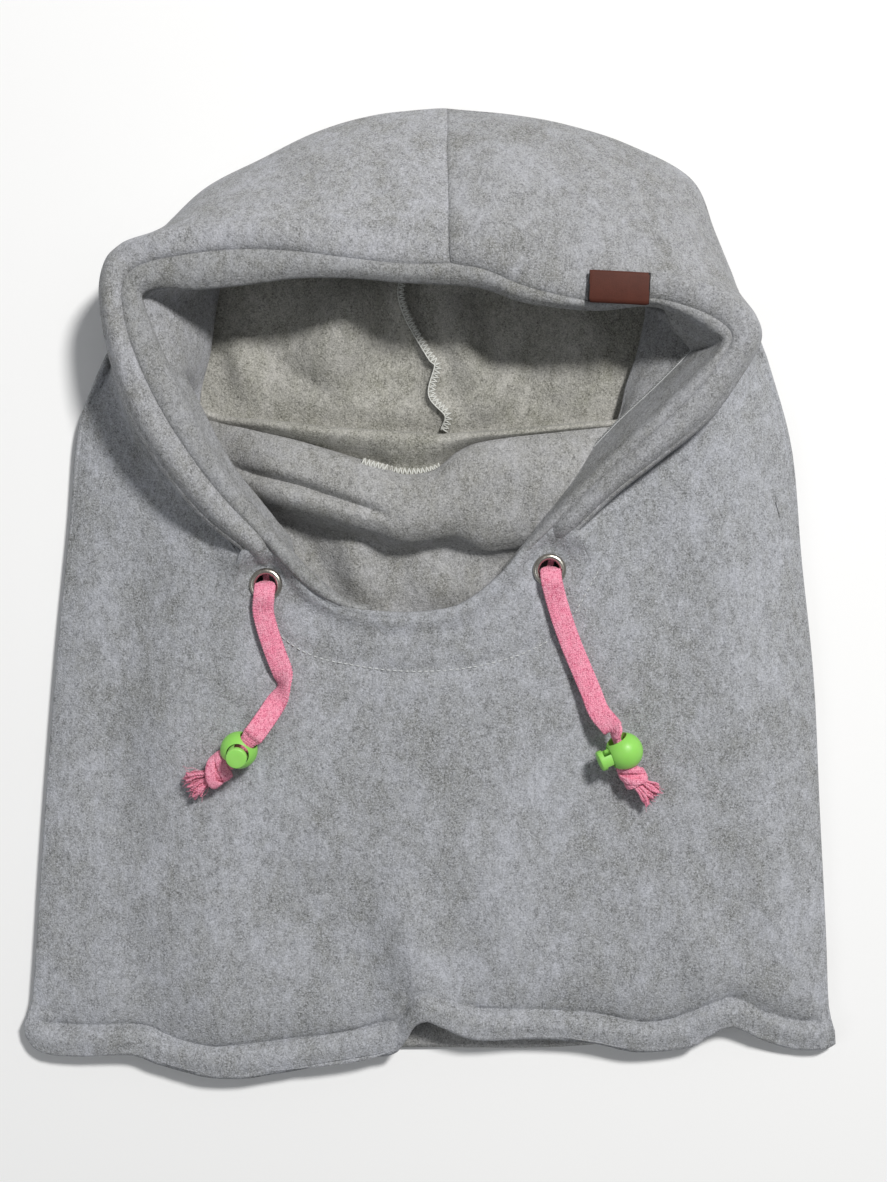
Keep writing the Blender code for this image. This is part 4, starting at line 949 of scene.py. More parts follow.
# slack of the cloth, mostly hollows, so that the cords lie clear
P = np.stack([X, Y, 0 * X], -1)
rel += -2.4 * (0.5 + 0.5 * vnoise(P, 62, 51)) - 0.9 * (0.5 + 0.5 * vnoise(P, 27, 52)) + 0.35
rel += ridge(X, Y, [(-146, -10), (-152, -80), (-146, -150)], -3.0, 17)
rel += ridge(X, Y, [(-90, -120), (-70, -150), (-60, -190)], -1.6, 16)
rel += ridge(X, Y, [(30, -110), (20, -150), (34, -195)], 1.4, 17)
# long soft folds
rel += ridge(X, Y, [(-3, -205), (-7, -178), (-14, -140)], 4.0, 12)
rel += ridge(X, Y, [(-24, -224), (-30, -190), (-40, -150)], -2.6, 13)
rel += ridge(X, Y, [(26, -214), (22, -180), (12, -140)], -1.8, 12)
rel += ridge(X, Y, [(140, -210), (132, -180), (126, -150)], 2.2, 10)
rel += ridge(X, Y, [(152, -212), (160, -180), (164, -140)], -1.6, 9)
rel += ridge(X, Y, [(-136, -226), (-140, -196), (-150, -150)], -2.0, 11)
rel += ridge(X, Y, [(-100, -232), (-104, -200), (-112, -165)], 1.8, 14)
rel += ridge(X, Y, [(-128, 50), (-140, 10), (-148, -40)], -2.4, 13)
rel += ridge(X, Y, [(98, 40), (112, 10), (124, -40)], -1.8, 14)
rel += ridge(X, Y, [(-120, 0), (-100, -60), (-96, -110)], -1.2, 16)
rel += ridge(X, Y, [(150, 60), (158, 20), (160, -60)], -1.2, 12)
eye = np.minimum(np.hypot(X - EYE_L[0], Y - EYE_L[1]), np.hypot(X - EYE_R[0], Y - EYE_R[1]))
calm = smooth((eye - 10) / 14)
rel *= 1.3 * calm
xl_, xr_ = side_x(Y)
rel *= smooth((np.minimum(X - xl_, xr_ - X) - 1) / 26)
# the casing stands a little proud between the edge and its stitching
inside_band = np.exp(-((r_neck - 12) / 9.0) ** 2)
rel += 0.9 * inside_band * calm * (r_neck < 30)
rel -= 1.9 * np.exp(-(r_st / 2.4) ** 2) * smooth(r_neck / 6) * calm
rel -= 2.9 * np.exp(-(r_hem / 1.9) ** 2)
rel -= 1.2 * np.exp(-((r_hem - 3) / 6.0) ** 2) * (r_edge > 13)
rel += 1.8 * np.exp(-((r_edge - 6.5) / 4.2) ** 2)
# puckers along the hem stitching
pk, sk = line_distance(X, Y, even_spline(HEM_STITCH, 120))
rel += 0.28 * np.sin(sk * 2 * np.pi * 62 + 2.0 * vnoise(P, 12, 77)) * np.exp(-((r_edge - 8) / 7.0) ** 2)
on_eye = 1 - smooth((eye - 9) / 8)
plane = front_plane(Y)
Z = front[..., 2] + rel * body_w
Z = Z * (1 - on_eye * body_w) + plane * on_eye * body_w
Z += (-0.45 * np.exp(-((eye - 9.2) / 1.6) ** 2)) * body_w
for _ in range(3):
    Zs = Z.copy()
    Zs[2:-2] = (Z[:-4] + 2 * Z[1:-3] + 3 * Z[2:-2] + 2 * Z[3:-1] + Z[4:]) / 9
    w = np.clip((eye - 9.0) / 3, 0, 1)
    w[:, :5] = 0
    w[:, -19:] = 0
    Z = Z * (1 - w) + Zs * w
front[..., 2] = Z


def corner_flare(g):
    """The turned hem stands out a little at the lower left corner."""
    g[..., 0] -= 3.4 * np.exp(-((g[..., 1] + 215) / 8.0) ** 2) * smooth((-g[..., 0] - 182) / 15)


corner_flare(front)
# at the shoulders the sheet turns down to meet the back
for end, inn in ((0, 1), (-1, -2)):
    base = front[end]
    d = base - front[inn]
    d[:, 2] = 0
    d /= np.maximum(1e-9, np.linalg.norm(d, axis=1, keepdims=True))
    ret = []
    for go, f in ((1.2, 0.90), (2.4, 0.72), (3.0, 0.50), (2.8, 0.28), (1.6, 0.08), (-1.0, 0.0)):
        q = base + d * go
        q[:, 2] = 3.2 + (base[:, 2] - 3.2) * f
        ret.append(q)
    front = np.concatenate([arr(ret)[::-1], front], axis=0) if end == 0 else np.concatenate([front, arr(ret)], axis=0)
front_ob = cloth("body_front_fabric", front, FLEECE, FL_FRONT, "body_front_panel")


def panel_frame(centre):
    z = unit((0, -SLOPE, 1))
    x = arr([1.0, 0, 0])
    y = np.cross(z, x)
    return arr([centre[0], centre[1], front_plane(centre[1])]) + z * FLEECE / 2, x, y, z


def at(fr, p):
    o, x, y, z = fr
    return o + x * p[0] + y * p[1] + z * p[2]


def boolean(ob, profile, fr, seg=48):
    """Cuts a turned solid out of ob and applies it."""
    cutter = lathe("cutter", profile, fr, FL_FRONT, "garment", seg=seg)
    cutter.parent = None
    b = ob.modifiers.new("cut", 'BOOLEAN')
    b.operation, b.solver, b.object = 'DIFFERENCE', 'EXACT', cutter
    apply_modifiers(ob)
    bpy.data.objects.remove(cutter, do_unlink=True)


def boolean_box(ob, fr, lo, hi, sub=0.0):
    o, x, y, z = fr
    v = [o + x * (hi[0] if i & 1 else lo[0]) + y * (hi[1] if i & 2 else lo[1]) + z * (hi[2] if i & 4 else lo[2]) for i in range(8)]
    f = [(0, 2, 3, 1), (4, 5, 7, 6), (0, 1, 5, 4), (2, 6, 7, 3), (0, 4, 6, 2), (1, 3, 7, 5)]
    cutter = add_mesh("cutter", v, f, FL_FRONT, "garment", smooth_shade=False)
    cutter.parent = None
    b = ob.modifiers.new("cut", 'BOOLEAN')
    b.operation, b.solver, b.object = 'DIFFERENCE', 'EXACT', cutter
    apply_modifiers(ob)
    bpy.data.objects.remove(cutter, do_unlink=True)


def apply_modifiers(ob):
    dg = bpy.context.evaluated_depsgraph_get()
    dg.update()
    me = bpy.data.meshes.new_from_object(ob.evaluated_get(dg))
    old = ob.data
    ob.modifiers.clear()
    ob.data = me
    me.name = old.name
    bpy.data.meshes.remove(old)


for c in (EYE_L, EYE_R):
    boolean(front_ob, [(0, -6), (5.9, -6), (5.9, 4), (0, 4)], panel_frame(c))
front_ob.data.shade_smooth()

# ------------------------------------------------------------------ neckline facing
nf = spline(NECK[5:14], 90)
tan = np.gradient(nf[:, :2], axis=0)
out = np.stack([tan[:, 1], -tan[:, 0]], 1)
out /= np.linalg.norm(out, axis=1, keepdims=True)
out = np.where(out[:, 1:2] > 0, -out, out)
rows = []
for i in range(5, 85):
    k, o = nf[i], out[i]
    end = 2.4 if i < 22 or i > 66 else 0.0
    row = []
    for d, drop in ((2.8, 4.6), (3.6, 6.0), (5.5, 7.2), (9, 8.0), (15, 8.2), (21, 8.1), (27, 8.0)):
        x, y = k[0] + o[0] * d, k[1] + o[1] * d
        row.append((x, y, min(front_plane(y), k[2]) - drop - end * max(0, 1 - d / 9)))
    rows.append(spline(row, 25))
nfg = arr(rows)
nfg[..., 2] += vnoise(nfg, 18, 61) * 0.4 - 0.3
neck_face = cloth("neckline_facing_fabric", nfg, 1.8, FL_FACE, "neckline_facing")

# ------------------------------------------------------------------ body back
BACK_TOP = [(-156.5, 106), (-146, 103), (-134, 98), (-120, 90)] + NECK_SEAM[1:-1] + [(118, 88), (132, 98), (146, 104), (162, 108)]
n_x = 190
top = even_spline([(x, y, 0) for x, y in BACK_TOP], n_x)
bot = even_spline(HEM_BACK, n_x)
# (distance below the neck seam, height) of the cowl that hangs in front of the seam
ROLL = [(-2.6, 6.2), (-1.0, 8.0), (-0.8, 11.5), (-1.6, 15.5), (-1.5, 20), (0.2, 24.4), (4.0, 28.2), (9.5, 30.2), (15.5, 30.2), (21, 28),
        (25.2, 23.6), (27.6, 17.6), (29.0, 11.6), (31.6, 7.6), (37, 5.4), (46, 4.4), (60, 3.2), (85, 2.0), (120, 1.5), (170, 1.4), (225, 1.4)]
roll_curve = spline(ROLL, 150)
rows = []
for j in range(n_x):
    a, b = top[j], bot[j]
    span = a[1] - b[1]
    A = float(side_share(a[0])) * float(1 - smooth((abs(a[0]) - 104) / 22))
    st = 1 + 0.85 * float(smooth((a[0] - 0) / 30))
    row = []
    for t, zr in roll_curve:
        if t > 9:
            w_ = 9 + (t - 9) * st * 0.84
            far = smooth((t - 36) / 60)
            t = w_ * (1 - far) + t * far
        t = min(t, 225)
        q = max(0.0, t) / 225
        x = a[0] + (b[0] - a[0]) * q
        y = a[1] - span * (t / 225)
        row.append((x, y, max(1.4, 1.4 + (zr - 1.4) * A)))
    # hem turned up inside
    hx, hy = b[0], b[1]
    for dy, dz in ((-0.5, 2.7), (1.2, 4.0), (6, 4.3), (13, 4.2)):
        xl, xr = side_x(hy + dy)
        row.append((min(max(hx, xl + 1.4), xr - 1.4), hy + dy, dz))
    rows.append(row)
back = arr(rows)
X, Y = back[..., 0], back[..., 1]
zone = np.ones(back.shape[1])
zone[-10:] = 0
zone = zone[None, :]
d_top = top[:, None, 1] - Y
inner = smooth((d_top - 5) / 8) * (1 - smooth((d_top - 95) / 30)) * (1 - smooth((np.abs(X) - 92) / 22)) * zone
rel = ridge(X, Y, [(-110, 66), (-85, 58), (-62, 52), (-36, 43), (-18, 37)], -5.5, 2.6)
rel += ridge(X, Y, [(-96, 54), (-70, 46), (-36, 36)], 1.5, 4)
rel += ridge(X, Y, [(-40, 30), (-36, 10), (-28, -8)], 7.5, 9)
rel += ridge(X, Y, [(-66, 34), (-58, 18), (-48, 4)], -3.0, 7)
rel += ridge(X, Y, [(-14, 8), (10, 2), (34, 12)], 6.0, 15)
rel += ridge(X, Y, [(44, 46), (60, 52), (80, 60)], 2.5, 10)
rel += ridge(X, Y, [(10, 52), (34, 58), (60, 66)], 2.2, 7)
rel += 1.4 * vnoise(np.stack([X, Y, 0 * X], -1), 21, 71)
back[..., 2] += rel * inner
back[..., 2] = np.maximum(back[..., 2], 1.35)
# the sides turn up to the side seams
for i in range(back.shape[1] - 4):
    y0 = back[0, i, 1]
    xl, xr = side_x(y0)
    w = np.exp(-((back[:, i, 0] - xl) / 5.0) ** 2)
    back[:, i, 2] += 1.6 * w
    back[0, i, 0] = xl + 0.9
    xl, xr = side_x(back[-1, i, 1])
    w = np.exp(-((back[:, i, 0] - xr) / 5.0) ** 2)
    back[:, i, 2] += 1.6 * w
    back[-1, i, 0] = xr - 0.9
corner_flare(back)
back_ob = cloth("body_back_fabric", back, FLEECE, FL_BACK, "body_back_panel")


# ------------------------------------------------------------------ surfaces to lay things on
def tree_of(*obs):
    vs, fs, n = [], [], 0
    for o in obs:
        me = o.data
        co = np.zeros(len(me.vertices) * 3, np.float32)
        me.vertices.foreach_get("co", co)
        vs += [tuple(p) for p in co.reshape(-1, 3).tolist()]
        fs += [tuple(i + n for i in p.vertices) for p in me.polygons]
        n += len(me.vertices)
    return BVHTree.FromPolygons(vs, fs)


def drop_on(tree, x, y, fallback=20.0, top=0.12):
    """Height in mm of a surface under a plan point in mm."""
    hit = tree.ray_cast(Vector(((x - CENTRE[0]) * MM, (y - CENTRE[1]) * MM, top)), Vector((0, 0, -1)))
    return fallback if hit[0] is None else hit[0].z * 1000


T_FRONT = tree_of(front_ob)
T_IN = tree_of(hood_left, hood_right, back_ob)
T_FACE_R = tree_of(facing_right)


# ------------------------------------------------------------------ stitching
def stitches(name, line, tree, node_name, pitch=3.0, length=2.35, radius=0.24, mat=THREAD_GREY, sink=0.05):
    pts = spline(line, 40 * len(line))
    L = np.linalg.norm(np.diff(pts[:, :2], axis=0), axis=1).sum()
    n = int(L / pitch)
    ln = even(pts, n * 6 + 1)
    s = Soup()
    for k in range(n):
        a = ln[k * 6: k * 6 + 5]
        c = []
        for q, p in zip(np.linspace(0, 1, 5), a):
            z = drop_on(tree, p[0], p[1])
            c.append((p[0], p[1], z + radius * 0.9 - sink - 0.55 * (abs(2 * q - 1) ** 3)))
        s.tube(c, radius * arr([0.8, 1, 1, 1, 0.8]), 6)
    return s.make(name, mat, "garment", node_name, "thread")


hem_st = stitches("hem_topstitch", [(x, y) for x, y in HEM_STITCH], T_FRONT, "hem_topstitch_thread")
casing_st = stitches("casing_topstitch", STITCH[2:-1], T_FRONT, "face_topstitch_thread", radius=0.34, sink=0.0, mat=THREAD)


def serging(name, line, tree, width, node_name, rise=0.8, pitch=2.1, band=True, top=0.12):
    """An overlocked raw edge: a narrow ridge of cloth bound with zigzag thread."""
    pts = even_spline([(x, y, 0) for x, y in line], 90)[:, :2]
    tan_ = np.gradient(pts, axis=0)
    tan_ /= np.linalg.norm(tan_, axis=1, keepdims=True)
    nrm = np.stack([-tan_[:, 1], tan_[:, 0]], 1)
    z = arr([drop_on(tree, *p, top=top) for p in pts])
    k = np.ones(7) / 7
    z = np.convolve(np.pad(z, 3, mode='edge'), k, mode='valid')
    s = Soup()
    edge = Soup()
    c = np.column_stack([pts, z + rise])
    across = np.column_stack([nrm, 0 * z])
    if band:
        edge.flat(c, np.column_stack([np.full(len(c), width), np.full(len(c), 1.5)]), across, 10, 2.6)
    L = np.linalg.norm(np.diff(pts, axis=0), axis=1).sum()
    n = int(L / pitch) * 2
    t = np.linspace(0, len(pts) - 1, n)
    zz = []
    for i, q in enumerate(t):
        b = np.array([np.interp(q, np.arange(len(pts)), c[:, m]) for m in range(3)])
        nn = np.array([np.interp(q, np.arange(len(pts)), nrm[:, m]) for m in range(2)])
        sgn = 1 if i % 2 else -1
        b[:2] += nn * sgn * width * 0.5
        zz.append((b[0], b[1], b[2] + 0.35))
    fine = []
    for i in range(len(zz) - 1):
        a, b = arr(zz[i]), arr(zz[i + 1])
        fine.append(a)
        m = (a + b) / 2
        m[2] += 0.75
        fine.append(m)
    fine.append(arr(zz[-1]))
    s.tube(fine, 0.42, 5)
    # the needle thread along the inner edge
    s.tube(np.column_stack([pts - nrm * 0.46 * width, c[:, 2] + 0.95]), 0.34, 5)
    if band:
        edge.make(name + "_edge", FL_IN, "garment", slot="thread")
    return s.make(name, THREAD_PALE, "garment", node_name, "thread")


seam_in = serging("crown_seam_serging", CENTRE_SEAM[3:-1] + [(7, 80)], T_IN, 3.7, "crown_seam_thread", rise=1.7, top=0.045)
seam_neck = serging("neck_seam_serging", [(-33, 63.8), (-26, 61.9), (-20, 60.3), (-13, 59.3), (-6, 59.2), (1, 60.4), (5, 62.2)], T_IN, 4.0,
                    "neck_seam_thread", rise=1.0)

# serged free edge of the facing on the right of the opening
fe = face_r[:, -1]
sel = np.linspace(int(195 * 8.6 / 15), int(195 * 8.6 / 15) + 39, 40).astype(int)
s = Soup()
pe = fe[sel]
inw = face_r[:, -4][sel] - fe[sel]
nrm = np.cross(np.gradient(pe, axis=0), inw)
nrm /= np.linalg.norm(nrm, axis=1, keepdims=True)
nrm[nrm[:, 2] < 0] *= -1
inw /= np.linalg.norm(inw, axis=1, keepdims=True)
pp = even(pe, 120)
ii = np.stack([np.interp(np.linspace(0, 39, 120), np.arange(40), inw[:, k]) for k in range(3)], 1)
nn = np.stack([np.interp(np.linspace(0, 39, 120), np.arange(40), nrm[:, k]) for k in range(3)], 1)
zz = []
for i in range(120):
    w = 0.3 if i % 2 else 3.0
    zz.append(pp[i] + ii[i] * w + nn[i] * 1.25)
s.tube(zz, 0.24, 5)
s.tube(pp + ii * 3.0 + nn * 1.3, 0.22, 5)
s.tube(pp + ii * 0.2 + nn * 1.0, 0.22, 5)
s.make("facing_edge_serging", THREAD, "garment", slot="thread")

# ------------------------------------------------------------------ eyelets
for tag, c in (("left", EYE_L), ("right", EYE_R)):
    fr_ = panel_frame(c)
    r0, r1, R = 4.9, 5.7, 8.0
    t = FLEECE
    prof = [(r0, -t - 1.5), (r1 + 0.7, -t - 1.75), (r1 + 0.75, -t - 1.35), (r1, -t - 1.1), (r1, 0.2), (R - 0.35, 0.2), (R - 0.05, 0.45), (R, 0.8),
            (R - 0.18, 1.2), (R - 0.6, 1.6), (R - 1.2, 1.88), (R - 1.9, 1.98), (R - 2.4, 1.8), (r0 + 0.35, 1.35), (r0 + 0.1, 0.95), (r0, 0.4)]
    lathe("eyelet_%s_ring" % tag, prof, fr_, NICKEL, "garment", "eyelet_" + tag, seg=72, angle=60)

# ------------------------------------------------------------------ label
lx, ly = 88.5, 142.0
ang = math.radians(-3)
ux, uy = arr([math.cos(ang), math.sin(ang), 0.0]), arr([-math.sin(ang), math.cos(ang), -0.02])
w, h, t = 28.5, 15.0, 2.6
sec = []
for k in range(13):
    a = -math.pi / 2 + math.pi * k / 12
    sec.append((h / 2 - t / 2 + t / 2 * math.cos(a), t / 2 * math.sin(a)))
sec += [(y, t / 2) for y in np.linspace(5, -6.6, 12)] + [(-7.4, 0.6), (-7.5, -0.2), (-7.0, -0.9)]
sec += [(y, -t / 2) for y in np.linspace(-6.4, 5, 8)]
sec = arr(sec)
# it bends over the rim
sec[:, 1] -= 0.013 * np.maximum(0, 4 - sec[:, 0]) ** 2
NW = 34
verts, faces, mats = [], [], []
o = arr([lx, ly, 67.0])
m = len(sec)
xs = w / 2 * np.sin(np.linspace(-math.pi / 2, math.pi / 2, NW)) * 1.0
for i, sx in enumerate(xs):
    # rounded corners and painted side edges
    q = abs(sx) / (w / 2)
    shrink = 1 - 0.10 * smooth((q - 0.9) / 0.1)
    cz = -0.5 * (sx / (w / 2)) ** 2
    for py, pz in sec:
        verts.append(o + ux * sx + uy * (py * (1 - 0.05 * smooth((q - 0.86) / 0.14)) if py < 0 else py) + arr([0, 0, pz * shrink + cz]))
for i in range(NW - 1):
    for k in range(m):
        k2 = (k + 1) % m
        faces.append((i * m + k2, (i + 1) * m + k2, (i + 1) * m + k, i * m + k))
faces.append(tuple(range(m))[::-1])
faces.append(tuple((NW - 1) * m + k for k in range(m)))
label = add_mesh("leather_label_loop", verts, faces, [LEATHER, EDGE_PAINT], "garment", "leather_label", angle=45)
for p in label.data.polygons:
    c = p.center
    sx = (c.x * 1000 + CENTRE[0] - lx) / (w / 2)
    if abs(sx) > 0.965:
        p.material_index = 1


# ------------------------------------------------------------------ cords, locks, knots, frayed ends
def knit(W, T):
    """Height of a tubular knitted tape's surface: rows of small V-shaped loops."""
    def lift(x, y, th):
        n = x.shape[0]
        s = np.arange(n)[:, None] * RING
        peri = np.where(np.abs(y) > 0.86 * T / 2, x, np.sign(x) * (W / 2 + (T / 2 - np.abs(y))) )
        wale = 1.45
        ph = (peri / wale) % 1.0
        v = np.abs(ph - 0.5) * 2
        loop = np.sin(2 * np.pi * (s / 1.25 + 0.55 * v))
        groove = np.cos(2 * np.pi * ph)
        return 0.24 * loop + 0.14 * groove
    return lift


RING = 0.42


def cord_end(tag, centre, route, ball, cord_dir, button_dir, knot, fray, turn):
    fr_ = panel_frame(centre)
    o, x, y, z = fr_
    c = unit(x * cord_dir[0] + y * cord_dir[1] + z * cord_dir[2])
    b = unit(x * button_dir[0] + y * button_dir[1] + z * button_dir[2])
    b = unit(b - c * np.dot(b, c))
    s = np.cross(c, b)
    ball_o = at(fr_, ball)
    bore = ball_o + b * 1.5
    pts = [at(fr_, p) for p in route]
    pts += [bore + c * 13, bore + c * 9, bore, bore - c * 9.0]
    n = 41
    stations = np.linspace(0, len(pts) - 1, n)
    line = spline(pts, n)
    k = len(route)
    widths, across = [], []
    for t, p in zip(stations, line):
        gather = 1 - smooth(t) if t < 1 else smooth((t - (k + 0.75)) / 0.62)
        widths.append((10 + (7.4 - 10) * gather, 2.9 + (3.2 - 2.9) * gather))
        i = min(n - 1, max(0, int(round(t / (len(pts) - 1) * (n - 1)))))
        tang = line[min(i + 1, n - 1)] - line[max(i - 1, 0)]
        flat = unit(np.cross(z, tang) if np.linalg.norm(np.cross(z, tang)) > 0.3 * np.linalg.norm(tang) else x)
        if np.dot(flat, x) < 0:
            flat = -flat
        a = smooth((t - (k - 2.2)) / 2.2) if tag == "left" else smooth((t - (k - 0.55)) / 1.45)
        tgt = s if np.dot(s, flat) >= 0 else -s
        v = flat * (1 - a) + tgt * a
        # a half turn of the tape on its way down
        tw = turn[1] * np.exp(-((t - turn[0]) / turn[2]) ** 2)
        tg = unit(tang)
        v = v * math.cos(tw) + np.cross(tg, v) * math.sin(tw)
        across.append(v)
    # fine, even rings
    seg = np.concatenate([[0], np.cumsum(np.linalg.norm(np.diff(line, axis=0), axis=1))])
    m = int(seg[-1] / RING)
    q = np.linspace(0, n - 1, n * 24)
    fine = spline_at(line, q)
    fs = np.concatenate([[0], np.cumsum(np.linalg.norm(np.diff(fine, axis=0), axis=1))])
    sq = np.interp(np.linspace(0, fs[-1], m), fs, q)
    fine = spline_at(line, sq)
    wq = np.stack([np.interp(sq, np.arange(n), arr(widths)[:, i]) for i in range(2)], 1)
    aq = np.stack([np.interp(sq, np.arange(n), arr(across)[:, i]) for i in range(3)], 1)
    sides = 64
    p = tube_points(fine, wq, aq, sides, 3.2, knit(10, 2.9))
    tail = add_mesh("drawcord_%s_tape" % tag, p.reshape(-1, 3), tube_faces(m, sides), CORD, "drawcord_" + tag,
                    "drawcord_%s_tail" % tag, angle=None)

    # lock body
    lf = (ball_o, s, c, b)
    R = 9.0
    prof = [(0, -R)] + [(R * math.sin(a), -R * math.cos(a)) for a in np.linspace(0, math.pi, 41)[1:-1]] + [(0, R)]
    lock_body = "cord_lock_" + tag
    ob = lathe("lock_%s_shell" % tag, prof, lf, LIME, lock_body, "cord_lock_%s_body" % tag, seg=72)
    bf = (bore, b, s, c)
    # the cord hole and the socket, with softened rims
    boolean(ob, [(0, -12), (6.4, -12), (5.0, -7.0), (5.0, 7.0), (6.4, 12), (0, 12)], bf, 56)
    boolean(ob, [(0, -6.7), (5.3, -6.7), (5.3, 6.6), (5.9, 8.4), (7.0, 12), (0, 12)], lf, 56)
    ob.data.shade_smooth()
    ob.data.set_sharp_from_angle(angle=math.radians(32))
    # gate mark
    gm = unit(s * 0.55 - c * 0.25 + (z if abs(np.dot(z, b)) < 0.7 else s) * 0.8)
    gx = unit(np.cross(gm, b))
    lathe("lock_%s_gate_mark" % tag, [(0, -0.2), (0.62, -0.2), (0.62, 0.02), (0.45, 0.10), (0.2, 0.04), (0, 0.04)],
          (ball_o + gm * 8.95, gx, np.cross(gm, gx), gm), LIME, lock_body, seg=16)
    top, bot = 13.3, -1.7
    prof = [(0, bot), (4.5, bot), (4.85, bot + 0.2), (5.0, bot + 0.6), (5.0, top - 1.0), (4.9, top - 0.45), (4.6, top - 0.12), (4.2, top), (2.2, top + 0.06), (0, top + 0.08)]
    bt = lathe("lock_%s_plunger" % tag, prof, lf, LIME_B, "cord_lock_button_" + tag, "cord_lock_%s_button" % tag, seg=64)
    boolean_box(bt, lf, (-4.15, -8, -0.5), (4.15, 8, 10.7))
    bt.data.shade_smooth()
    bt.data.set_sharp_from_angle(angle=math.radians(35))
    # spring
    sp = Soup()
    tt = np.linspace(0, 1, 150)
    th = 2 * math.pi * 3.0 * tt
    coil = ball_o + np.outer(2.6 * np.cos(th), c) + np.outer(2.6 * np.sin(th), s) + np.outer(-6.2 + 4.0 * tt, b)
    sp.tube(coil, 0.275, 8)
    spring = sp.make("lock_%s_spring" % tag, SPRING, lock_body, "cord_lock_%s_spring" % tag, "spring_steel")

    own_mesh(spring)

    # overhand knot: the tape wrapped round its own core
    kf = at(fr_, knot[:3])
    ka = unit(x * knot[3] + y * knot[4])
    kb = np.cross(z, ka)
    hl, hw, hh = knot[5:8]
    kn = Soup()
    core_t = np.linspace(-1, 1, 26)
    core = kf + np.outer(core_t * hl * 0.98, ka) + np.outer(0.8 * np.sin(core_t * 2.2), kb)
    cw = np.column_stack([hw * 1.40 * (1 - 0.45 * core_t ** 4), hh * 1.35 * (1 - 0.5 * core_t ** 4)])
    kn.flat(core, cw, [kb] * 26, 28, 2.3, lambda X_, Y_, th_: 0.14 * np.sin(np.arange(26)[:, None] * 1.9 + 2 * th_))
    wraps = ((0.22, -1.9, 5.4, 1.0, 0.3), (-0.62, 1.9, 4.6, 0.98, 2.4)) if tag == "left" else \
        ((0.45, -2.3, 3.4, 1.0, 0.3), (-0.60, 0.2, 3.2, 1.06, 2.2), (0.30, 2.4, 3.0, 0.9, 4.1))
    for lean, shift, wid, grow, ph in wraps:
        tt = np.linspace(0, 2 * math.pi, 84)
        ax = np.cos(tt + ph) * lean * hw
        ring = kf + np.outer(shift + ax, ka) + np.outer(np.cos(tt) * (hw - 1.25) * grow, kb) + np.outer(np.sin(tt) * (hh - 1.2) * grow, z)
        kn.flat(ring[:-1], np.column_stack([np.full(83, wid), np.full(83, 2.3)]), [ka] * 83, 28, 2.8,
                lambda X_, Y_, th_: 0.13 * np.sin(np.arange(83)[:, None] * 1.6 + X_ * 3.2) + 0.07 * np.cos(X_ * 5.2))
    kn_ob = kn.make("drawcord_%s_knot_wraps" % tag, CORD, "drawcord_" + tag, "drawcord_%s_knot" % tag, "drawcord")

    # frayed end: plied yarns that spread, and the fine fibre between them
    f0, f1 = at(fr_, fray[0]), at(fr_, fray[1])
    fd = f1 - f0
    fl = np.linalg.norm(fd)
    fd = fd / fl
    fa = np.cross(z, fd)
    fr = Soup()
    rng = np.random.default_rng(11 if tag == "left" else 23)
    many, wide = (34, 6.2) if tag == "left" else (44, 5.0)
    for i in range(many):
        u0 = -1 + 2 * ((i * 0.618) % 1.0)
        v0 = rng.uniform(-1, 1)
        start = f0 + fa * u0 * 2.6 + z * v0 * 1.5 - fd * 1.6
        length = fl * rng.uniform(0.78, 1.10)
        spread = u0 * wide + rng.normal(0, 0.7)
        wav = rng.uniform(0.25, 0.8)
        ph = rng.uniform(0, 6.28)
        t_ = np.linspace(0, 1, 30)
        lift_ = 1.2 * np.sin(np.pi * t_) + v0 * 1.4 - 1.6 * t_ ** 2
        c_ = start + np.outer(t_ * length, fd) + np.outer((spread - u0 * 2.6) * t_ ** 1.3 + wav * np.sin(ph + t_ * 8) * t_, fa) \
            + np.outer(lift_ * 0.8 + 0.4 * np.sin(ph * 2 + t_ * 9) * t_, z)
        thick = rng.uniform(0.56, 0.78)
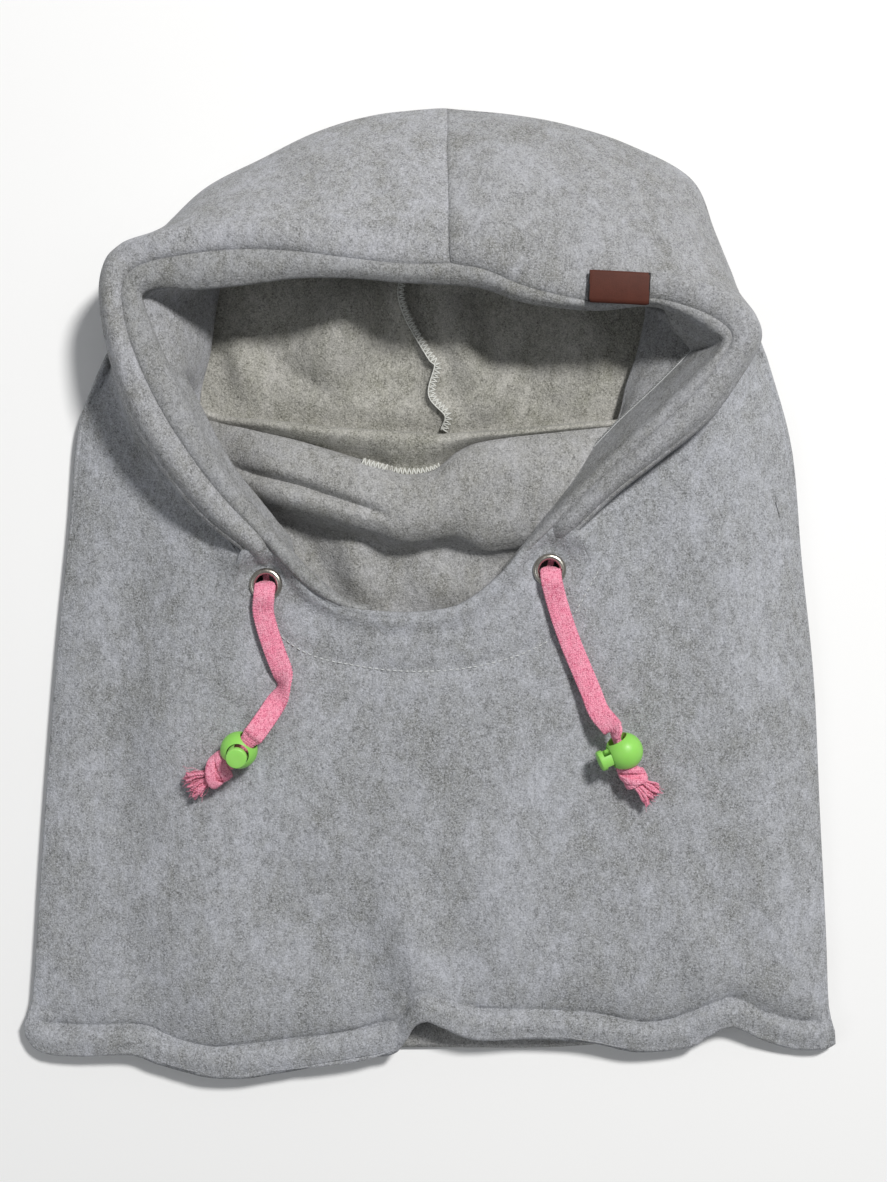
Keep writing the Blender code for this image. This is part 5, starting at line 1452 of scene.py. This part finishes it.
        # a yarn of two plies
        off = 0.34 * thick
        tw_ = np.linspace(0, 2 * math.pi * 4.5, 30)
        for sg in (0, math.pi):
            fr.tube(c_ + np.outer(off * np.cos(tw_ + sg), fa) + np.outer(off * np.sin(tw_ + sg), z), thick * 0.72, 7)
    for i in range(40):
        u0 = rng.uniform(-1, 1)
        start = f0 + fa * u0 * 2.8 + z * rng.uniform(-1, 1.6)
        t_ = np.linspace(0, 1, 12)
        c_ = start + np.outer(t_ * fl * rng.uniform(0.7, 1.12), fd) + np.outer((u0 * (wide - 1.5) + rng.normal(0, 1.4)) * t_ + 0.8 * np.sin(u0 * 9 + t_ * 11) * t_, fa) \
            + np.outer(rng.uniform(-1.6, 1.8) * t_ - 1.2 * t_ ** 2, z)
        fr.tube(c_, 0.13, 4)
    fr_ob = fr.make("drawcord_%s_fray_strands" % tag, CORD, "drawcord_" + tag, "drawcord_%s_frayed_end" % tag, "drawcord")

    length = float(np.linalg.norm(np.diff(fine, axis=0), axis=1).sum()) * MM
    return length


len_l = cord_end(
    "left", EYE_L,
    [(0, 0, -1.3), (-0.2, -1.0, 2.6), (-0.6, -5.5, 4.8), (-1.1, -13, 3.0), (1.0, -22, 2.8), (4.6, -33, 2.8),
     (8.2, -43, 3.0), (8.6, -50, 3.8), (4.0, -58.5, 5.8)],
    (-12.5, -79.2, 9.5), (0.672 * 0.985, 0.741 * 0.985, 0.14), (-0.11, -0.30, 0.95),
    (-22.2, -88.4, 6.6, -0.80, -0.60, 4.9, 7.3, 5.6), [(-27.2, -92.4, 5.6), (-38.6, -98.4, 4.2)], (6.9, 1.0, 0.9))
len_r = cord_end(
    "right", EYE_R,
    [(0, 0, -1.3), (0.3, -1.0, 2.6), (0.8, -5.5, 4.8), (3.0, -14, 3.0), (6.4, -25, 2.8), (10.8, -37, 2.8),
     (15.4, -48, 3.2), (19.8, -58.5, 4.8), (23.6, -68.0, 7.2)],
    (35.6, -86.7, 9.5), (-0.354 * 0.978, 0.935 * 0.978, 0.21), (-0.91, -0.41, 0.12),
    (40.0, -98.6, 6.4, 0.42, -0.90, 4.8, 6.2, 5.2), [(43.0, -102.6, 5.6), (51.4, -110.4, 4.2)], (1.0, 0.0, 1.0))

# ------------------------------------------------------------------ pieces that keep their CAD shape
for name, mat in (("drawcord_casing_run", CORD), ("eyelet_washer_left", NICKEL), ("eyelet_washer_right", NICKEL)):
    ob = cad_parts[name]
    ob.data.materials.clear()
    ob.data.materials.append(mat)
